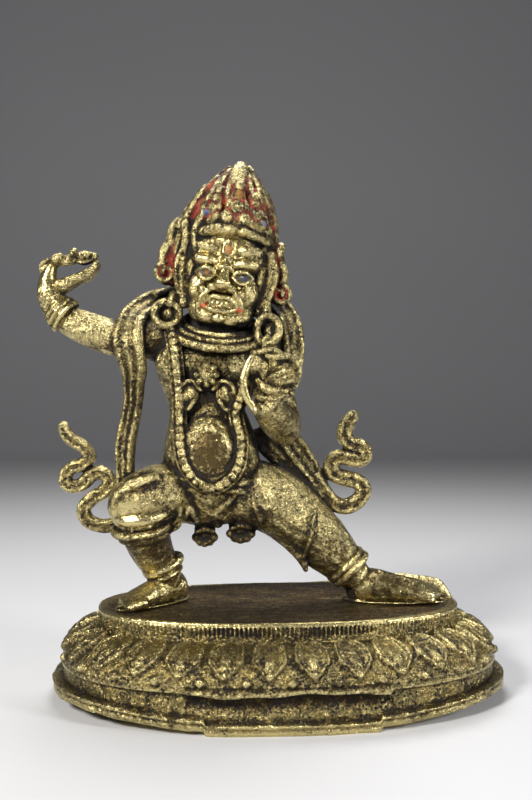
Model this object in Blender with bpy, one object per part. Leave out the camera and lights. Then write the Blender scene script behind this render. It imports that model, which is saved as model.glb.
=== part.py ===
"""Small gilt copper-alloy figure of a striding wrathful guardian deity on an oval lotus base.

Two castings: the figure, one solid from soles to hair, and the hollow lotus base that it stands on.
Metres, +Z up. The origin is on the ground under the middle of the object's box; the figure faces -Y.
"""

import math

import bmesh
import bpy
import numpy as np
from mathutils import Matrix

# Figure: its height drives its module, and every pose point below is counted in modules
FIGURE_HEIGHT = 0.126
MODULES_TALL = 438
MODULE = FIGURE_HEIGHT / MODULES_TALL
STANCE_REACH = 170 * MODULE
STANCE_TURN = -4.0
FIGURE_TRIANGLES = 6300
CASTING_GRAIN = 1.7 * MODULE

# Lotus base
BASE_HEIGHT = 0.0242
OVAL_POWER = 2.35
PLATE_END_MARGIN = 0.0023
PLATE_DEPTH = 0.0530
PLATE_FLAT = 0.84
RIM_HEIGHT = 0.0052
RIM_ROUNDING = 0.0004
END_RIM_RISE = 0.0040
PETAL_COUNT = 28
COLUMNS_PER_PETAL = 10
PETAL_RELIEF = 0.0010
PETAL_SPREAD_AT_ENDS = 0.0095
PETAL_SPREAD_AT_FRONT = 0.0128
PETAL_FOOT_HEIGHT = 0.0112
LIP_THICKNESS = 0.0011
LIP_WIDTH = 0.0006
BAND_INSET = 0.0010
FLANGE_WIDTH_AT_ENDS = 0.0027
FLANGE_WIDTH_AT_FRONT = 0.0005
FLANGE_THICKNESS = 0.0024
FLANGE_STEP = 0.0012
FLANGE_END_LIFT = 0.0036
BREAK_LEFT = -0.0214
BREAK_RIGHT = 0.0222
BASE_WALL = 0.0024
BASE_TRIANGLES = 3600
SEAT_GAP = 0.0003

HALF_LENGTH = STANCE_REACH + PLATE_END_MARGIN
HALF_DEPTH = PLATE_DEPTH / 2

GILT = (0.62, 0.50, 0.25)
GILT_DARK = (0.55, 0.45, 0.23)
FIGURE_ROUGHNESS = 0.34
BASE_ROUGHNESS = 0.38
PIECE_SHARPNESS = math.radians(50)


# Closed shells that the casting is built up from

class Shells:
    """Closed shells that overlap; cast() melts them into one surface."""

    def __init__(self):
        self.points = []
        self.faces = []
        self.count = 0

    def add(self, points, faces):
        self.points.append(np.asarray(points, float))
        self.faces.extend(tuple(i + self.count for i in face) for face in faces)
        self.count += len(points)

    def join(self, other, matrix):
        turn = np.array(matrix.to_3x3())
        shift = np.array(matrix.translation)
        self.add(np.vstack(other.points) @ turn.T + shift, other.faces)


def through(rows, steps):
    """Rows of numbers on a smooth curve through the given rows, with steps spans between neighbours."""
    rows = np.asarray(rows, float)
    padded = np.vstack([2 * rows[0] - rows[1], rows, 2 * rows[-1] - rows[-2]])
    found = []
    for i in range(1, len(padded) - 2):
        a, b, c, d = padded[i - 1 : i + 3]
        for t in np.linspace(0, 1, steps, endpoint=False):
            found.append(0.5 * (2 * b + (c - a) * t + (2 * a - 5 * b + 4 * c - d) * t**2
                                + (3 * b - a - 3 * c + d) * t**3))
    found.append(rows[-1])
    return np.array(found)


def unit(v):
    return v / max(np.linalg.norm(v), 1e-9)


def sweep_faces(loops, sides):
    """Faces of a capped tube whose points are one pole, the loops, and the other pole."""
    last = 1 + loops * sides
    faces = []
    for j in range(sides):
        k = (j + 1) % sides
        faces.append((0, 1 + k, 1 + j))
        for i in range(loops - 1):
            a, b = 1 + i * sides, 1 + (i + 1) * sides
            faces.append((a + j, a + k, b + k, b + j))
        faces.append((last, last - sides + j, last - sides + k))
    return faces


def limb(shells, rows, facing=(0, -1, 0), sides=12, steps=4, cap=1.0):
    """A rounded tube along rows of (x, y, z, half width[, half depth]); the depth lies along facing."""
    rows = [r if len(r) == 5 else (*r, r[3]) for r in rows]
    path = through(rows, steps)
    centre, width, depth = path[:, :3], np.maximum(path[:, 3], 0.3), np.maximum(path[:, 4], 0.3)
    rings = []
    for c, t, w, d in zip(centre, np.gradient(centre, axis=0), width, depth):
        t = unit(t)
        front = np.asarray(facing, float)
        front = front - (front @ t) * t
        if np.linalg.norm(front) < 0.15:
            front = np.cross(t, (1, 0, 0)) if abs(t[0]) < 0.9 else np.cross(t, (0, 0, 1))
        front = unit(front)
        rings.append((c, t, np.cross(t, front), front, w, d))
    angles = np.linspace(0, 2 * math.pi, sides, endpoint=False)
    cos, sin = np.cos(angles)[:, None], np.sin(angles)[:, None]

    def circle(ring, scale, shift):
        c, t, side, front, w, d = ring
        return c + t * shift + side * cos * w * scale + front * sin * d * scale

    def cap_length(ring):
        return cap * min(ring[4], ring[5])

    cap_angles = [math.radians(a) for a in (68, 45, 22)]
    points = [(rings[0][0] - rings[0][1] * cap_length(rings[0]))[None, :]]
    points += [circle(rings[0], math.cos(a), -math.sin(a) * cap_length(rings[0])) for a in cap_angles]
    points += [circle(r, 1, 0) for r in rings]
    points += [circle(rings[-1], math.cos(a), math.sin(a) * cap_length(rings[-1])) for a in cap_angles[::-1]]
    points.append((rings[-1][0] + rings[-1][1] * cap_length(rings[-1]))[None, :])
    shells.add(np.vstack(points), sweep_faces(len(points) - 2, sides))


def ball(shells, centre, radii, turn=(0, 0, 0), sides=14):
    """An ellipsoid; turn is its rotation about x, y and z in degrees."""
    radii = (radii,) * 3 if np.isscalar(radii) else radii
    cuts = sides // 2 + 1
    points = [(0, 0, -1)]
    for i in range(1, cuts):
        polar = math.pi * i / cuts
        for j in range(sides):
            angle = 2 * math.pi * j / sides
            points.append((math.sin(polar) * math.cos(angle), math.sin(polar) * math.sin(angle),
                           -math.cos(polar)))
    points.append((0, 0, 1))
    matrix = np.array(Matrix.Rotation(math.radians(turn[2]), 3, "Z")
                      @ Matrix.Rotation(math.radians(turn[1]), 3, "Y")
                      @ Matrix.Rotation(math.radians(turn[0]), 3, "X"))
    shells.add(np.array(points) * radii @ matrix.T + centre, sweep_faces(cuts - 1, sides))


def ring(shells, centre, normal, radii, thickness, up=(0, 0, 1), sides=10, turns=32):
    """A closed torus about normal; radii are its half sizes across and along up, thickness its tube radii."""
    thickness = (thickness,) * 2 if np.isscalar(thickness) else thickness
    radii = (radii,) * 2 if np.isscalar(radii) else radii
    normal = unit(np.asarray(normal, float))
    up = np.asarray(up, float)
    up = unit(up - (up @ normal) * normal)
    side = np.cross(up, normal)
    points = []
    for i in range(turns):
        a = 2 * math.pi * i / turns
        out = side * math.cos(a) * radii[0] + up * math.sin(a) * radii[1]
        for j in range(sides):
            b = 2 * math.pi * j / sides
            points.append(centre + out + unit(out) * math.cos(b) * thickness[0]
                          + normal * math.sin(b) * thickness[1])
    faces = []
    for i in range(turns):
        for j in range(sides):
            m, n = (i + 1) % turns, (j + 1) % sides
            faces.append((i * sides + j, i * sides + n, m * sides + n, m * sides + j))
    shells.add(points, faces)


def beads(shells, rows, count, radii):
    """Balls strung evenly along a curve through rows of (x, y, z)."""
    path = through(rows, 12)
    run = np.concatenate([[0], np.cumsum(np.linalg.norm(np.diff(path, axis=0), axis=1))])
    for s in np.linspace(0, run[-1], count):
        ball(shells, [np.interp(s, run, path[:, k]) for k in range(3)], radii, sides=8)


def rosette(shells, centre, radius, lobes=8, depth=0.6):
    """A flower boss that faces the viewer: a round heart in a ring of lobes."""
    x, y, z = centre
    ball(shells, centre, (radius * 0.7, radius * depth, radius * 0.7))
    for i in range(lobes):
        a = 2 * math.pi * i / lobes
        ball(shells, (x + math.cos(a) * radius * 0.72, y, z + math.sin(a) * radius * 0.72),
             (radius * 0.3, radius * depth * 0.85, radius * 0.3), sides=8)
    ball(shells, (x, y - radius * depth * 0.6, z), radius * 0.32, sides=8)


def ribbon(shells, rows, thickness, facing=(0, -1, 0), folds=2):
    """A cast scarf along rows of (x, y, z, width): side-by-side cords with a groove between them."""
    path = through(rows, 3)
    tangent = np.gradient(path[:, :3], axis=0)
    facing = np.asarray(facing, float)
    for k in range(folds):
        place = (k + 0.5) / folds - 0.5
        cord = []
        for p, t in zip(path, tangent):
            t = unit(t)
            front = unit(facing - (facing @ t) * t)
            side = np.cross(t, front)
            cord.append((*(p[:3] + side * place * p[3]), p[3] / folds * 0.56, thickness / 2))
        limb(shells, cord, facing=facing, sides=10, steps=1)


# The figure, in modules above the plate

HEAD_CENTRE = (-53, -1, 319)
HEAD_TILT = 8.2


def torso(s):
    limb(s, [(-65, 5, 100, 50, 38), (-67, -2, 123, 50, 41), (-68, -2, 146, 48, 40), (-70, 1, 170, 43, 34),
             (-72, 3, 190, 38, 32), (-71, 4, 208, 46, 32), (-69, 4, 231, 57, 33), (-65, 6, 251, 62, 31),
             (-61, 8, 266, 54, 25), (-58, 4, 279, 32, 24), (-56, 0, 297, 26, 24)], sides=24, cap=0.6)
    ball(s, (-69, -18, 150), (36, 30, 38), sides=20)
    for side in (-1, 1):
        ball(s, (-69 + side * 27, -12, 236), (27, 17, 21))
        ball(s, (-69 + side * 20, 22, 236), (26, 15, 30))
    ball(s, (-62, 4, 99), (36, 30, 24))
    limb(s, [(-69, -49, 170, 3.4), (-69, -50, 174, 3.4)], sides=8)


def raised_arm(s):
    limb(s, [(-112, 8, 261, 24), (-130, 5, 260.5, 21.5), (-150, 3, 261, 20), (-165, 0, 262, 18.8),
             (-182, -2, 267.5, 17.8), (-195, -3, 272.5, 16.8), (-206, -4, 278, 15.5), (-216, -5, 286, 14.2),
             (-224, -6, 296, 13.5), (-228, -7, 306, 12.6), (-229, -8, 317, 9.5, 10),
             (-226.5, -9, 327, 6.5, 8), (-222.5, -10, 335, 4.5, 6)], sides=16)
    for depth in (-15, -8, -1, 5):
        limb(s, [(-216, depth, 312, 7, 5), (-204, depth, 318, 5, 4.2), (-191.5, depth, 323.5, 4.6, 4),
                 (-184, depth * 0.8 - 2, 329, 3.6), (-180.5, depth * 0.6 - 4, 334.5, 3)], sides=8)
    limb(s, [(-223, -12, 333, 4), (-219.5, -16, 338.5, 4.6), (-216, -13, 341, 4)], sides=8)
    # The wrist ring is a triple band that leans with the hand
    for x, y, z, size, thick in ((-221, -6, 291, 14.2, 2.2), (-217, -5.5, 287.5, 15.6, 2.8),
                                 (-212.5, -5, 283.5, 16.6, 3)):
        ring(s, (x, y, z), (0.78, 0, -0.63), size, thick)
    ball(s, (-225, -14, 279), 4.2, sides=8)
    vajra(s)


def vajra(s):
    """A double-ended thunderbolt sceptre: a grip, and at each end closed prongs round a spike."""
    middle = np.array((-209.0, -10.0, 338.0))
    axis = unit(np.array((50.0, 0.0, 7.0)))
    up = np.cross((0, 1, 0), axis)
    limb(s, [(*(middle - axis * 13), 5), (*middle, 5.6), (*(middle + axis * 10), 4.6)], sides=12)
    for quarter in range(4):
        angle = math.radians(45 + 90 * quarter)
        out = up * math.cos(angle) + np.array((0, 1, 0)) * math.sin(angle)
        limb(s, [(*(middle + axis * (9 + along) + out * far), 2.4)
                 for along, far in ((0, 3), (5, 6), (11, 5.5), (17, 2))], sides=8)
        limb(s, [(-223 + out[0] * 3, -8 + out[1] * 3, 336 + out[2] * 3, 3),
                 (-229 + out[0] * 5, -8 + out[1] * 5, 334 + out[2] * 4, 3.2),
                 (-235 + out[0] * 4, -8 + out[1] * 4, 330 + out[2] * 3, 3)], sides=8)
    limb(s, [(*(middle + axis * 9), 4), (*(middle + axis * 25), 3.4), (*(middle + axis * 29), 2.2)])
    ball(s, middle + axis * 17 + np.array((0, -6, 2)), (7, 4, 4.2), turn=(0, -8, 0))
    ball(s, middle + axis * 27, (4, 4, 3.8))
    limb(s, [(*(middle + axis * 6 - up * 3), 3.4), (*(middle + axis * 7 - up * 8), 3.8)], sides=8)


def lowered_arm(s):
    limb(s, [(-12, 8, 258, 22), (-5, 8, 240, 19), (-3, 4, 222, 17), (-1, 0, 207, 16), (2, -6, 190, 17),
             (4, -12, 176, 17.5)], sides=16)
    limb(s, [(4, -14, 173, 17.5), (-2, -28, 180, 17.5), (-8, -42, 189, 16.5), (-10, -52, 198, 14.5),
             (-7, -56, 208, 12.5), (-3, -57, 216, 12.5), (3, -56, 225, 10.5)], sides=14)
    ball(s, (3, -55, 222), (15.5, 10, 11))
    for shift in (0, 5, 10):
        limb(s, [(16, -54, 231 - shift, 2.8), (8, -63, 228 - shift, 3), (-4, -67, 223 - shift, 2.8),
                 (-12, -65, 218 - shift * 0.6, 2.2)], sides=8)
    limb(s, [(-21, -65, 218, 2.4), (-15, -69, 212, 4.4, 3.4), (-7, -71, 208.5, 4.4, 3.4),
             (1, -69, 209, 2.6)], sides=10)
    ring(s, (-8, -56, 208), (-0.25, -0.45, 0.86), (15, 14), (2.8, 3.6))
    beads(s, [(5, -67, 208), (11, -61, 206)], 2, 3)
    for row in ([(13, -52, 214, 4.6), (17, -54, 225, 4.2), (15.5, -57, 234, 3.8), (9, -62, 240, 3.4),
                 (1, -67, 240, 3.2), (-7, -69, 239, 3), (-12, -68, 240.5, 2.4)],
                [(8, -50, 228, 4), (4, -54, 240, 3.6), (-6, -60, 246, 3.4), (-14, -66, 245.5, 3),
                 (-25, -69, 243.5, 2.8)],
                [(-10, -56, 214, 4.4), (-15, -61, 224, 3.8), (-14, -64, 233, 3)],
                [(-14.5, -64, 247, 2), (-15, -62, 255, 2.2), (-12, -61, 259, 2.2), (-9, -61, 257.5, 1.8)]):
        limb(s, row, sides=8)
    # The noose hangs from the fingers as a flat hoop that ends in a leaf across the forearm
    limb(s, [(-24, -70, 243, 3), (-30, -71, 232, 3.6), (-33.5, -71, 220, 3.8), (-32.8, -71, 208, 3.8),
             (-29, -71, 199, 3.8), (-22.5, -70, 190, 4)], sides=10)
    limb(s, [(-23, -69, 188, 3, 2.5), (-14, -69, 191.5, 5.2, 3), (-6, -68, 197.5, 5, 3),
             (1, -65, 204, 2, 2.5)], sides=10)


def bent_leg(s):
    limb(s, [(-81, 0, 109, 33), (-104, -12, 109, 31), (-124, -24, 105, 30), (-138, -31, 99, 28)], sides=18)
    limb(s, [(-134, -28, 86, 25), (-130, -22, 68, 23), (-125, -14, 52, 21), (-117, -5, 34, 17.5),
             (-113, -2, 20, 16)], sides=16)
    ring(s, (-134, -27, 76.5), (0.12, 0.2, -0.97), (27, 26), (3.4, 4), up=(0, 1, 0))
    ring(s, (-131, -23, 69), (0.12, 0.2, -0.97), (24, 23), (2.4, 3.4), up=(0, 1, 0))
    ring(s, (-115.5, -4, 36), (-0.37, -0.2, 0.9), 18.5, (4, 4.4), up=(0, 1, 0))
    ring(s, (-114, -3, 28), (-0.3, -0.2, 0.93), 17, (2.2, 2.4), up=(0, 1, 0))
    foot(s, heel=(-103, 6), toe=(-149, -41), heights=(16, 15.5, 13, 10, 7), width=14)
    # A fold of the skin frames the knee, from the top down its outer side and along its foot
    limb(s, [(-118, -44, 126, 5.5, 4.5), (-132, -49.5, 122, 6, 5), (-145, -51, 116, 6, 5),
             (-154, -49, 106, 5, 4.6), (-156, -46, 96, 4.6, 4)], facing=(0, -1, 0.3))
    limb(s, [(-154, -46, 90, 5, 4), (-144, -54, 87, 6.5, 4.6), (-130, -55.5, 87.5, 7, 4.6),
             (-116, -50, 90, 6, 4), (-106, -42, 95, 4, 3)], facing=(0, -1, 0.3))


def straight_leg(s):
    limb(s, [(-39, 0, 109, 34), (-17, 0, 104, 34), (6, 0, 91, 32), (29, 0, 71, 30), (47, 0, 54, 27),
             (64, 0, 37, 21.5), (74, 0, 26, 17)], sides=18)
    ring(s, (71, 0, 31), (0.7, 0, -0.71), 21, (3.4, 3.8), up=(0, 1, 0))
    ring(s, (66, 0, 36), (0.7, 0, -0.71), 21.5, (2.2, 2.6), up=(0, 1, 0))
    limb(s, [(10, -14, 66, 12, 7), (18, -16, 54, 9, 6), (23, -16, 43, 5.5, 5), (26, -15, 33, 2.5)])
    foot(s, heel=(78, 1), toe=(158, -4), heights=(18, 18, 15, 12.5, 9), width=15.5)


def foot(s, heel, toe, heights, width):
    """A bare foot on the ground from heel to toe; the soles are trimmed flat afterwards."""
    heel = np.array((*heel, 0.0))
    toe = np.array((*toe, 0.0))
    run = toe - heel
    side = unit(np.cross(run, (0, 0, 1)))
    rows = []
    for share, high, wide in zip((0.0, 0.22, 0.48, 0.72, 0.9), heights, (0.95, 1.0, 1.0, 1.08, 1.05)):
        rows.append((*(heel + run * share + (0, 0, high * 0.75)), width * wide, high))
    limb(s, rows, facing=(0, 0, 1), sides=16, cap=0.8)
    direction = unit(run)
    for k in range(5):
        size = width * (0.36 - 0.03 * k)
        tip = heel + run * (1.0 - 0.025 * k) + side * (k / 4 - 0.5) * 1.7 * width
        limb(s, [(*(tip - direction * size * 3 + (0, 0, heights[-1] * 0.75)), size * 1.05),
                 (*(tip + (0, 0, size * 0.9)), size)], sides=8)


def garment(s):
    """Belt, tiger-skin folds and the two knotted ends that hang between the thighs."""
    ring(s, (-66, 0, 117), (0.05, 0.16, 1), (50, 43), (3.5, 4.5), up=(0, 1, 0))
    ring(s, (-66, 0, 108), (0.05, 0.16, 1), (51, 41), (3, 3.5), up=(0, 1, 0))
    for x, z, wide in ((-73.5, 72, 13.5), (-38, 75.5, 15.5)):
        ball(s, (x, -8, z), (wide * 0.8, 9, 13))
        for turn in (205, 240, 270, 300, 335):
            a = math.radians(turn)
            ball(s, (x + math.cos(a) * wide * 0.72, -9, z - 4 + math.sin(a) * 9.5),
                 (wide * 0.34, 7, 4.6), sides=8)
        limb(s, [(x - wide * 0.6, -16, z - 2, 2.4), (x, -18, z + 1, 2.6), (x + wide * 0.6, -16, z - 1, 2.4)],
             sides=8)
        ball(s, (x - 1, -17, z + 6), 3.6, sides=8)
    limb(s, [(-66, -31, 106, 5), (-64, -28, 92, 5), (-60, -18, 79, 5)])
    limb(s, [(-44, -32, 110, 5), (-55, -31, 98, 5.5), (-68, -26, 89, 5), (-76, -15, 81, 4)])
    limb(s, [(-86, -32, 110, 5), (-74, -31, 98, 5), (-58, -26, 88, 5), (-44, -15, 83, 4)])
    limb(s, [(-92, -33, 104, 4), (-84, -31, 92, 4), (-78, -22, 82, 3.5)])
    for shift in (0, 8):
        limb(s, [(-114 + shift, -38, 108, 3.4), (-106 + shift, -38, 98, 3.4), (-104 + shift, -34, 88, 3.4),
                 (-106 + shift, -30, 79, 3.4), (-111 + shift * 0.6, -27, 73, 3)], sides=8)
    limb(s, [(-30, -28, 112, 3.4), (-24, -31, 98, 3.4), (-18, -29, 84, 3)], sides=8)
    # The knot and hanging tail of the skin at the back
    ball(s, (-64, 40, 112), (14, 9, 11))
    limb(s, [(-64, 42, 110, 10, 5), (-62, 42, 92, 12, 5), (-60, 36, 74, 10, 4)])


def scarf(s):
    """The scarf frames the shoulders, falls on both sides and ends in two standing scrolls."""
    ribbon(s, [(-124, 20, 300, 24), (-98, 34, 308, 26), (-56, 38, 312, 26), (-17, 34, 306, 26),
               (4, 18, 290, 24)], 12, facing=(0, 1, 0.35), folds=3)
    ribbon(s, [(-104, 30, 302, 24), (-122, 22, 301, 26), (-136, 9, 293, 28), (-146, -6, 280, 30),
               (-149, -17, 263, 31), (-146.5, -18, 247, 30), (-143.6, -12, 230, 26), (-144.3, -6, 214, 21),
               (-145, -4, 199, 19), (-148, -4, 180, 19.5), (-151.8, -6, 161, 20), (-152.5, -10, 140, 18.5),
               (-151, -15, 118, 17)], 13, facing=(-0.3, -1, 0.15), folds=3)
    ribbon(s, [(-16, 30, 304, 24), (-1, 18, 295, 24), (8, 8, 283, 24), (12, 1, 270, 24), (13.5, -3, 256, 24),
               (13.5, -5, 242, 22), (11.5, -4, 229, 21), (7, 3, 214, 20), (4, 12, 198, 20), (4, 17, 180, 22),
               (7, 18, 164, 24), (17, 16, 150, 24), (28, 14, 135, 22), (38, 13, 119, 18), (46, 12, 104, 15)],
           13, facing=(0.35, -1, 0.1), folds=3)
    ribbon(s, [(-16, 14, 170, 26), (-9, 15, 156, 28), (5, 15, 142, 26), (20, 13, 124, 24), (34, 10, 106, 20)],
           9, folds=3)
    ribbon(s, [(36, 12, 122, 15), (44, 12, 110, 15), (54, 12, 96.5, 15.5), (67, 12, 92, 16),
               (80, 12, 97.6, 16), (86, 12, 108.5, 16), (79.5, 12, 117.5, 16), (67, 12, 120.5, 16),
               (55.5, 12, 125.5, 16), (53, 12, 134.5, 16), (59.5, 12, 141.5, 15.5), (71.5, 12, 140.5, 15),
               (82.5, 12, 139, 15), (88, 12, 145.5, 15), (83, 12, 152.5, 15), (72.5, 12, 155.5, 15.5),
               (66.5, 12, 163.5, 16), (68.5, 12, 174, 16), (75.5, 12, 184, 12)], 13, folds=2)
    ribbon(s, [(-138, 4, 92, 14), (-155, 8, 81, 14), (-167, 10, 74, 14), (-181, 10, 73, 14),
               (-194, 10, 79, 14), (-197, 10, 91, 14), (-188, 10, 101, 14), (-176, 10, 108, 14),
               (-171, 10, 119, 14), (-180, 10, 127, 14), (-190, 10, 123, 13.5), (-200, 10, 114, 13.5),
               (-212, 10, 113, 13.5), (-216, 10, 122, 13.5), (-210, 10, 131, 13.5), (-198, 10, 135, 13.5),
               (-191, 10, 143, 13.5), (-197, 10, 152, 13.5), (-208, 10, 159, 13.5), (-215, 10, 166, 12.5),
               (-218, 10, 174, 10)], 12, folds=2)
    # Bridges cast behind the scrolls tie them to the leg and the hip
    limb(s, [(-126, 0, 96, 8), (-142, 8, 92, 7), (-156, 12, 84, 6)])
    limb(s, [(14, 8, 110, 10, 8), (30, 10, 108, 9, 7), (44, 12, 102, 8, 6)])


def jewellery(s):
    """Collar, chest rosette and straps, and the long string of beads round the belly."""
    for centre, radii, thickness in (((-59, 1, 276), 35, (3.6, 4.2)), ((-60, 0, 272), (41, 39.5), (3.2, 3.6)),
                                     ((-60, -1, 267.5), (47, 44), (3.4, 4.2))):
        ring(s, centre, (0.08, -0.42, 0.9), radii, thickness, up=(0, 1, 0))
    rosette(s, (-70, -36, 224), 12.5)
    for side in (-1, 1):
        ball(s, (-70 + side * 18, -29, 204), (10, 6, 13), turn=(0, side * -12, 0))
        limb(s, [(-70 + side * 6, -34, 210, 2.2), (-70 + side * 14, -34, 218, 2.4),
                 (-70 + side * 24, -33, 214, 2.4), (-70 + side * 27, -32, 201, 2.4),
                 (-70 + side * 20, -33, 190, 2.4), (-70 + side * 12, -35, 199, 2.2)], sides=8)
    limb(s, [(-85, -40, 183, 3.2), (-79, -44, 190, 3.6), (-70, -45, 193, 3.6), (-61, -44, 190, 3.6),
             (-55, -40, 183, 3.2)], sides=8)
    beads(s, [(-105.7, -20, 268), (-102, -31, 252), (-99, -34, 228), (-97, -32, 204), (-96, -36, 180),
              (-95, -41, 160), (-91, -43, 140), (-80, -45, 124), (-64, -47, 117), (-50, -45, 123),
              (-40, -42, 136), (-37, -39, 153), (-38, -37, 168), (-42, -35, 186), (-38, -33, 200),
              (-33, -32, 216)], 40, (5, 5, 4.5))
    ring(s, (-110, -20, 284.5), (0.15, -1, 0.12), 12, (4, 5))
    ball(s, (-110, -13, 284.5), (9, 6, 9))
    ring(s, (-11, -26, 268), (-0.15, -1, 0.1), (11, 13), (4.2, 5))
    ball(s, (-7, -18, 266), (10, 8, 12))
    limb(s, [(-103, -15, 303, 5.5), (-107, -20, 295, 4.5)])
    limb(s, [(-14, -18, 296, 5.5), (-12, -24, 283, 4.5)])


def head(s):
    """A round wrathful face with three eyes under a five-leaved crown."""
    h = Shells()
    limb(h, [(0, -5, -38, 31, 29), (0, -5, -24, 34, 33), (0, -4, -4, 34, 35), (0, -2, 22, 33.5, 35),
             (0, 0, 42, 32, 33)], sides=24, cap=0.42)
    limb(h, [(0, 2, -58, 24), (0, 0, -30, 26)])
    limb(h, [(0, -34, 16, 6), (0, -40, 2, 5), (0, -44, -7, 6)], sides=10)
    ball(h, (0, -45, -9), (8, 6, 5.6))
    ball(h, (0, -40, -13), (11, 5, 4))
    ball(h, (0, -27, 33), (27, 12, 9))
    ball(h, (0, -28, -29), (18, 12, 14))
    limb(h, [(-8, -38.5, 5, 2.2), (0, -42, 8.5, 2.4), (8, -38.5, 5, 2.2)], sides=8)
    ball(h, (0, -36, -41), (7, 6, 5))
    ball(h, (0, -38, -30), (10, 3.5, 4))
    ball(h, (1, -37, 25), (3.6, 3.6, 5.6))
    ring(h, (1, -37.5, 25), (0, -1, 0.1), (5.4, 8), (1.7, 2.6), turns=20, sides=8)
    for side in (-1, 1):
        ball(h, (side * 20, -27.5, 26.5), (14.5, 10, 7.4), turn=(0, side * -4, side * 22))
        ball(h, (side * 19.5, -30, 13.4), (14, 11, 7), turn=(0, side * -8, side * 20))
        ball(h, (side * 17, -22, 20), (18, 14, 17))
        ball(h, (side * 33, -13, 0), (8, 11, 34))
        ball(h, (side * 18.5, -34, 0), (8.5, 6.8, 5.6))
        limb(h, [(side * 8.5, -39, -1, 2), (side * 12, -41.5, 3.8, 2.2), (side * 20, -40.5, 5, 2.4),
                 (side * 27.5, -34, 1, 2)], sides=8)
        limb(h, [(side * 8.5, -39, -1, 1.8), (side * 13, -41, -4.8, 2), (side * 20, -40, -5.6, 2),
                 (side * 27.5, -34, 1, 1.8)], sides=8)
        ball(h, (side * 9, -41, -12.5), (5.2, 5, 4.4))
        ball(h, (side * 20, -24, -13), (14, 13, 17))
        ball(h, (side * 18, -36.5, -16), (5.2, 4.6, 5))
        ball(h, (side * 18, -20, -32), (14, 16, 15))
        ball(h, (side * 11, -29, -38), (13, 8.5, 9))
        limb(h, [(side * 11, -40, -15, 2.6), (side * 19, -37, -23, 3), (side * 21, -34, -32, 2.8)], sides=8)
        limb(h, [(0, -42.5, -22, 2.8), (side * 7, -42, -21.5, 2.8), (side * 13, -39, -25, 2.4),
                 (side * 17, -35.5, -30, 2)], sides=8)
        limb(h, [(0, -42, -34.5, 2.8), (side * 8, -41, -34, 2.6), (side * 14, -38, -32, 2.2),
                 (side * 17, -35.5, -30, 2)], sides=8)
        for across in (2.2, 6.2):
            ball(h, (side * across, -40, -27.5), (2.1, 2.4, 3), sides=8)
        limb(h, [(side * 10, -40, -26, 2), (side * 10, -40, -31, 1.2)], sides=8)
        # Long ears
        limb(h, [(side * 39, -12, 28, 6.5, 7), (side * 43, -14, 12, 9, 7), (side * 42, -15, -6, 8.5, 7),
                 (side * 39, -16, -19, 7, 6), (side * 37, -17, -29, 5.5, 5)])
        limb(h, [(side * 46, -18, 22, 2.2), (side * 49, -19, 8, 2.4), (side * 47, -20, -8, 2.2),
                 (side * 43, -20, -20, 2)], sides=8)
        ball(h, (side * 37, -6, 4), (9, 11, 32))
    crown(h)
    s.join(h, Matrix.Translation(HEAD_CENTRE) @ Matrix.Rotation(math.radians(HEAD_TILT), 4, "Y"))


def crown(h):
    """A thick diadem over the brow with five jewelled leaves."""
    ring(h, (0, 3, 41), (0, 0.06, 1), (40, 41), (4.6, 5), up=(0, 1, 0), turns=40)
    ring(h, (0, 3, 48), (0, 0.06, 1), (41, 41.5), (2.6, 2.6), up=(0, 1, 0), turns=40)
    limb(h, [(-27, -32, 40, 4.6), (-14, -40, 42, 5.8), (1, -42, 43, 5.6)])
    ball(h, (12, -41, 43), (6, 4.5, 4.6), turn=(0, -20, 0))
    limb(h, [(18, -38, 42, 4), (28, -31, 41, 3.8), (36, -22, 39, 3.4)])
    for azimuth, tall, lean in ((4, 1.0, -13), (-33, 0.86, -15), (34, 0.86, -15), (-72, 0.74, -16),
                                (72, 0.74, -16)):
        leaf = Shells()
        limb(leaf, [(0, 0, 2, 12, 5), (0, 0, 12, 13.5, 5.5), (0, 0.5, 24, 10.5, 5.5), (0, 1, 36, 7, 5),
                    (0, 2, 45, 3.5, 4)])
        for side in (-1, 1):
            ball(leaf, (side * 8, -2, 11), (6.5, 4.4, 7), turn=(0, side * 25, 0))
            ball(leaf, (side * 8, -1.5, 24), (3.4, 3.6, 6), turn=(0, side * -12, 0))
        ring(leaf, (0, -4.5, 21), (0, -1, 0), (4.6, 5.2), (1.8, 2), turns=16, sides=8)
        ball(leaf, (0, -4.5, 21), (3.4, 3, 3.8))
        ball(leaf, (0, -3.5, 34), (4.6, 3.6, 5.4))
        ball(leaf, (0, -2.5, 44), (4.6, 4, 4.6))
        a = math.radians(azimuth)
        place = (math.sin(a) * 40.5, 3 - math.cos(a) * 41.5, 45)
        h.join(leaf, Matrix.Translation(place) @ Matrix.Rotation(a, 4, "Z")
               @ Matrix.Rotation(math.radians(lean), 4, "X") @ Matrix.Scale(tall, 4))


# Height, centre x and radius of the dome of hair
HAIR_DOME = np.array(((300, -55, 40), (325, -55, 46), (350, -54, 48), (366, -53, 46), (381, -51, 43),
                      (395, -48, 37), (408, -47, 29), (420, -44, 17), (430, -40, 9), (435, -39, 4)), float)
HAIR_DEPTH = 0.84


def on_hair(azimuth, height, lift=0.0):
    """A point on the dome of hair; azimuth 0 is over the face."""
    middle, radius = (np.interp(height, HAIR_DOME[:, 0], HAIR_DOME[:, k]) for k in (1, 2))
    a = math.radians(azimuth)
    return (middle + math.sin(a) * (radius + lift), 6 - math.cos(a) * (radius + lift) * HAIR_DEPTH, height)


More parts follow.
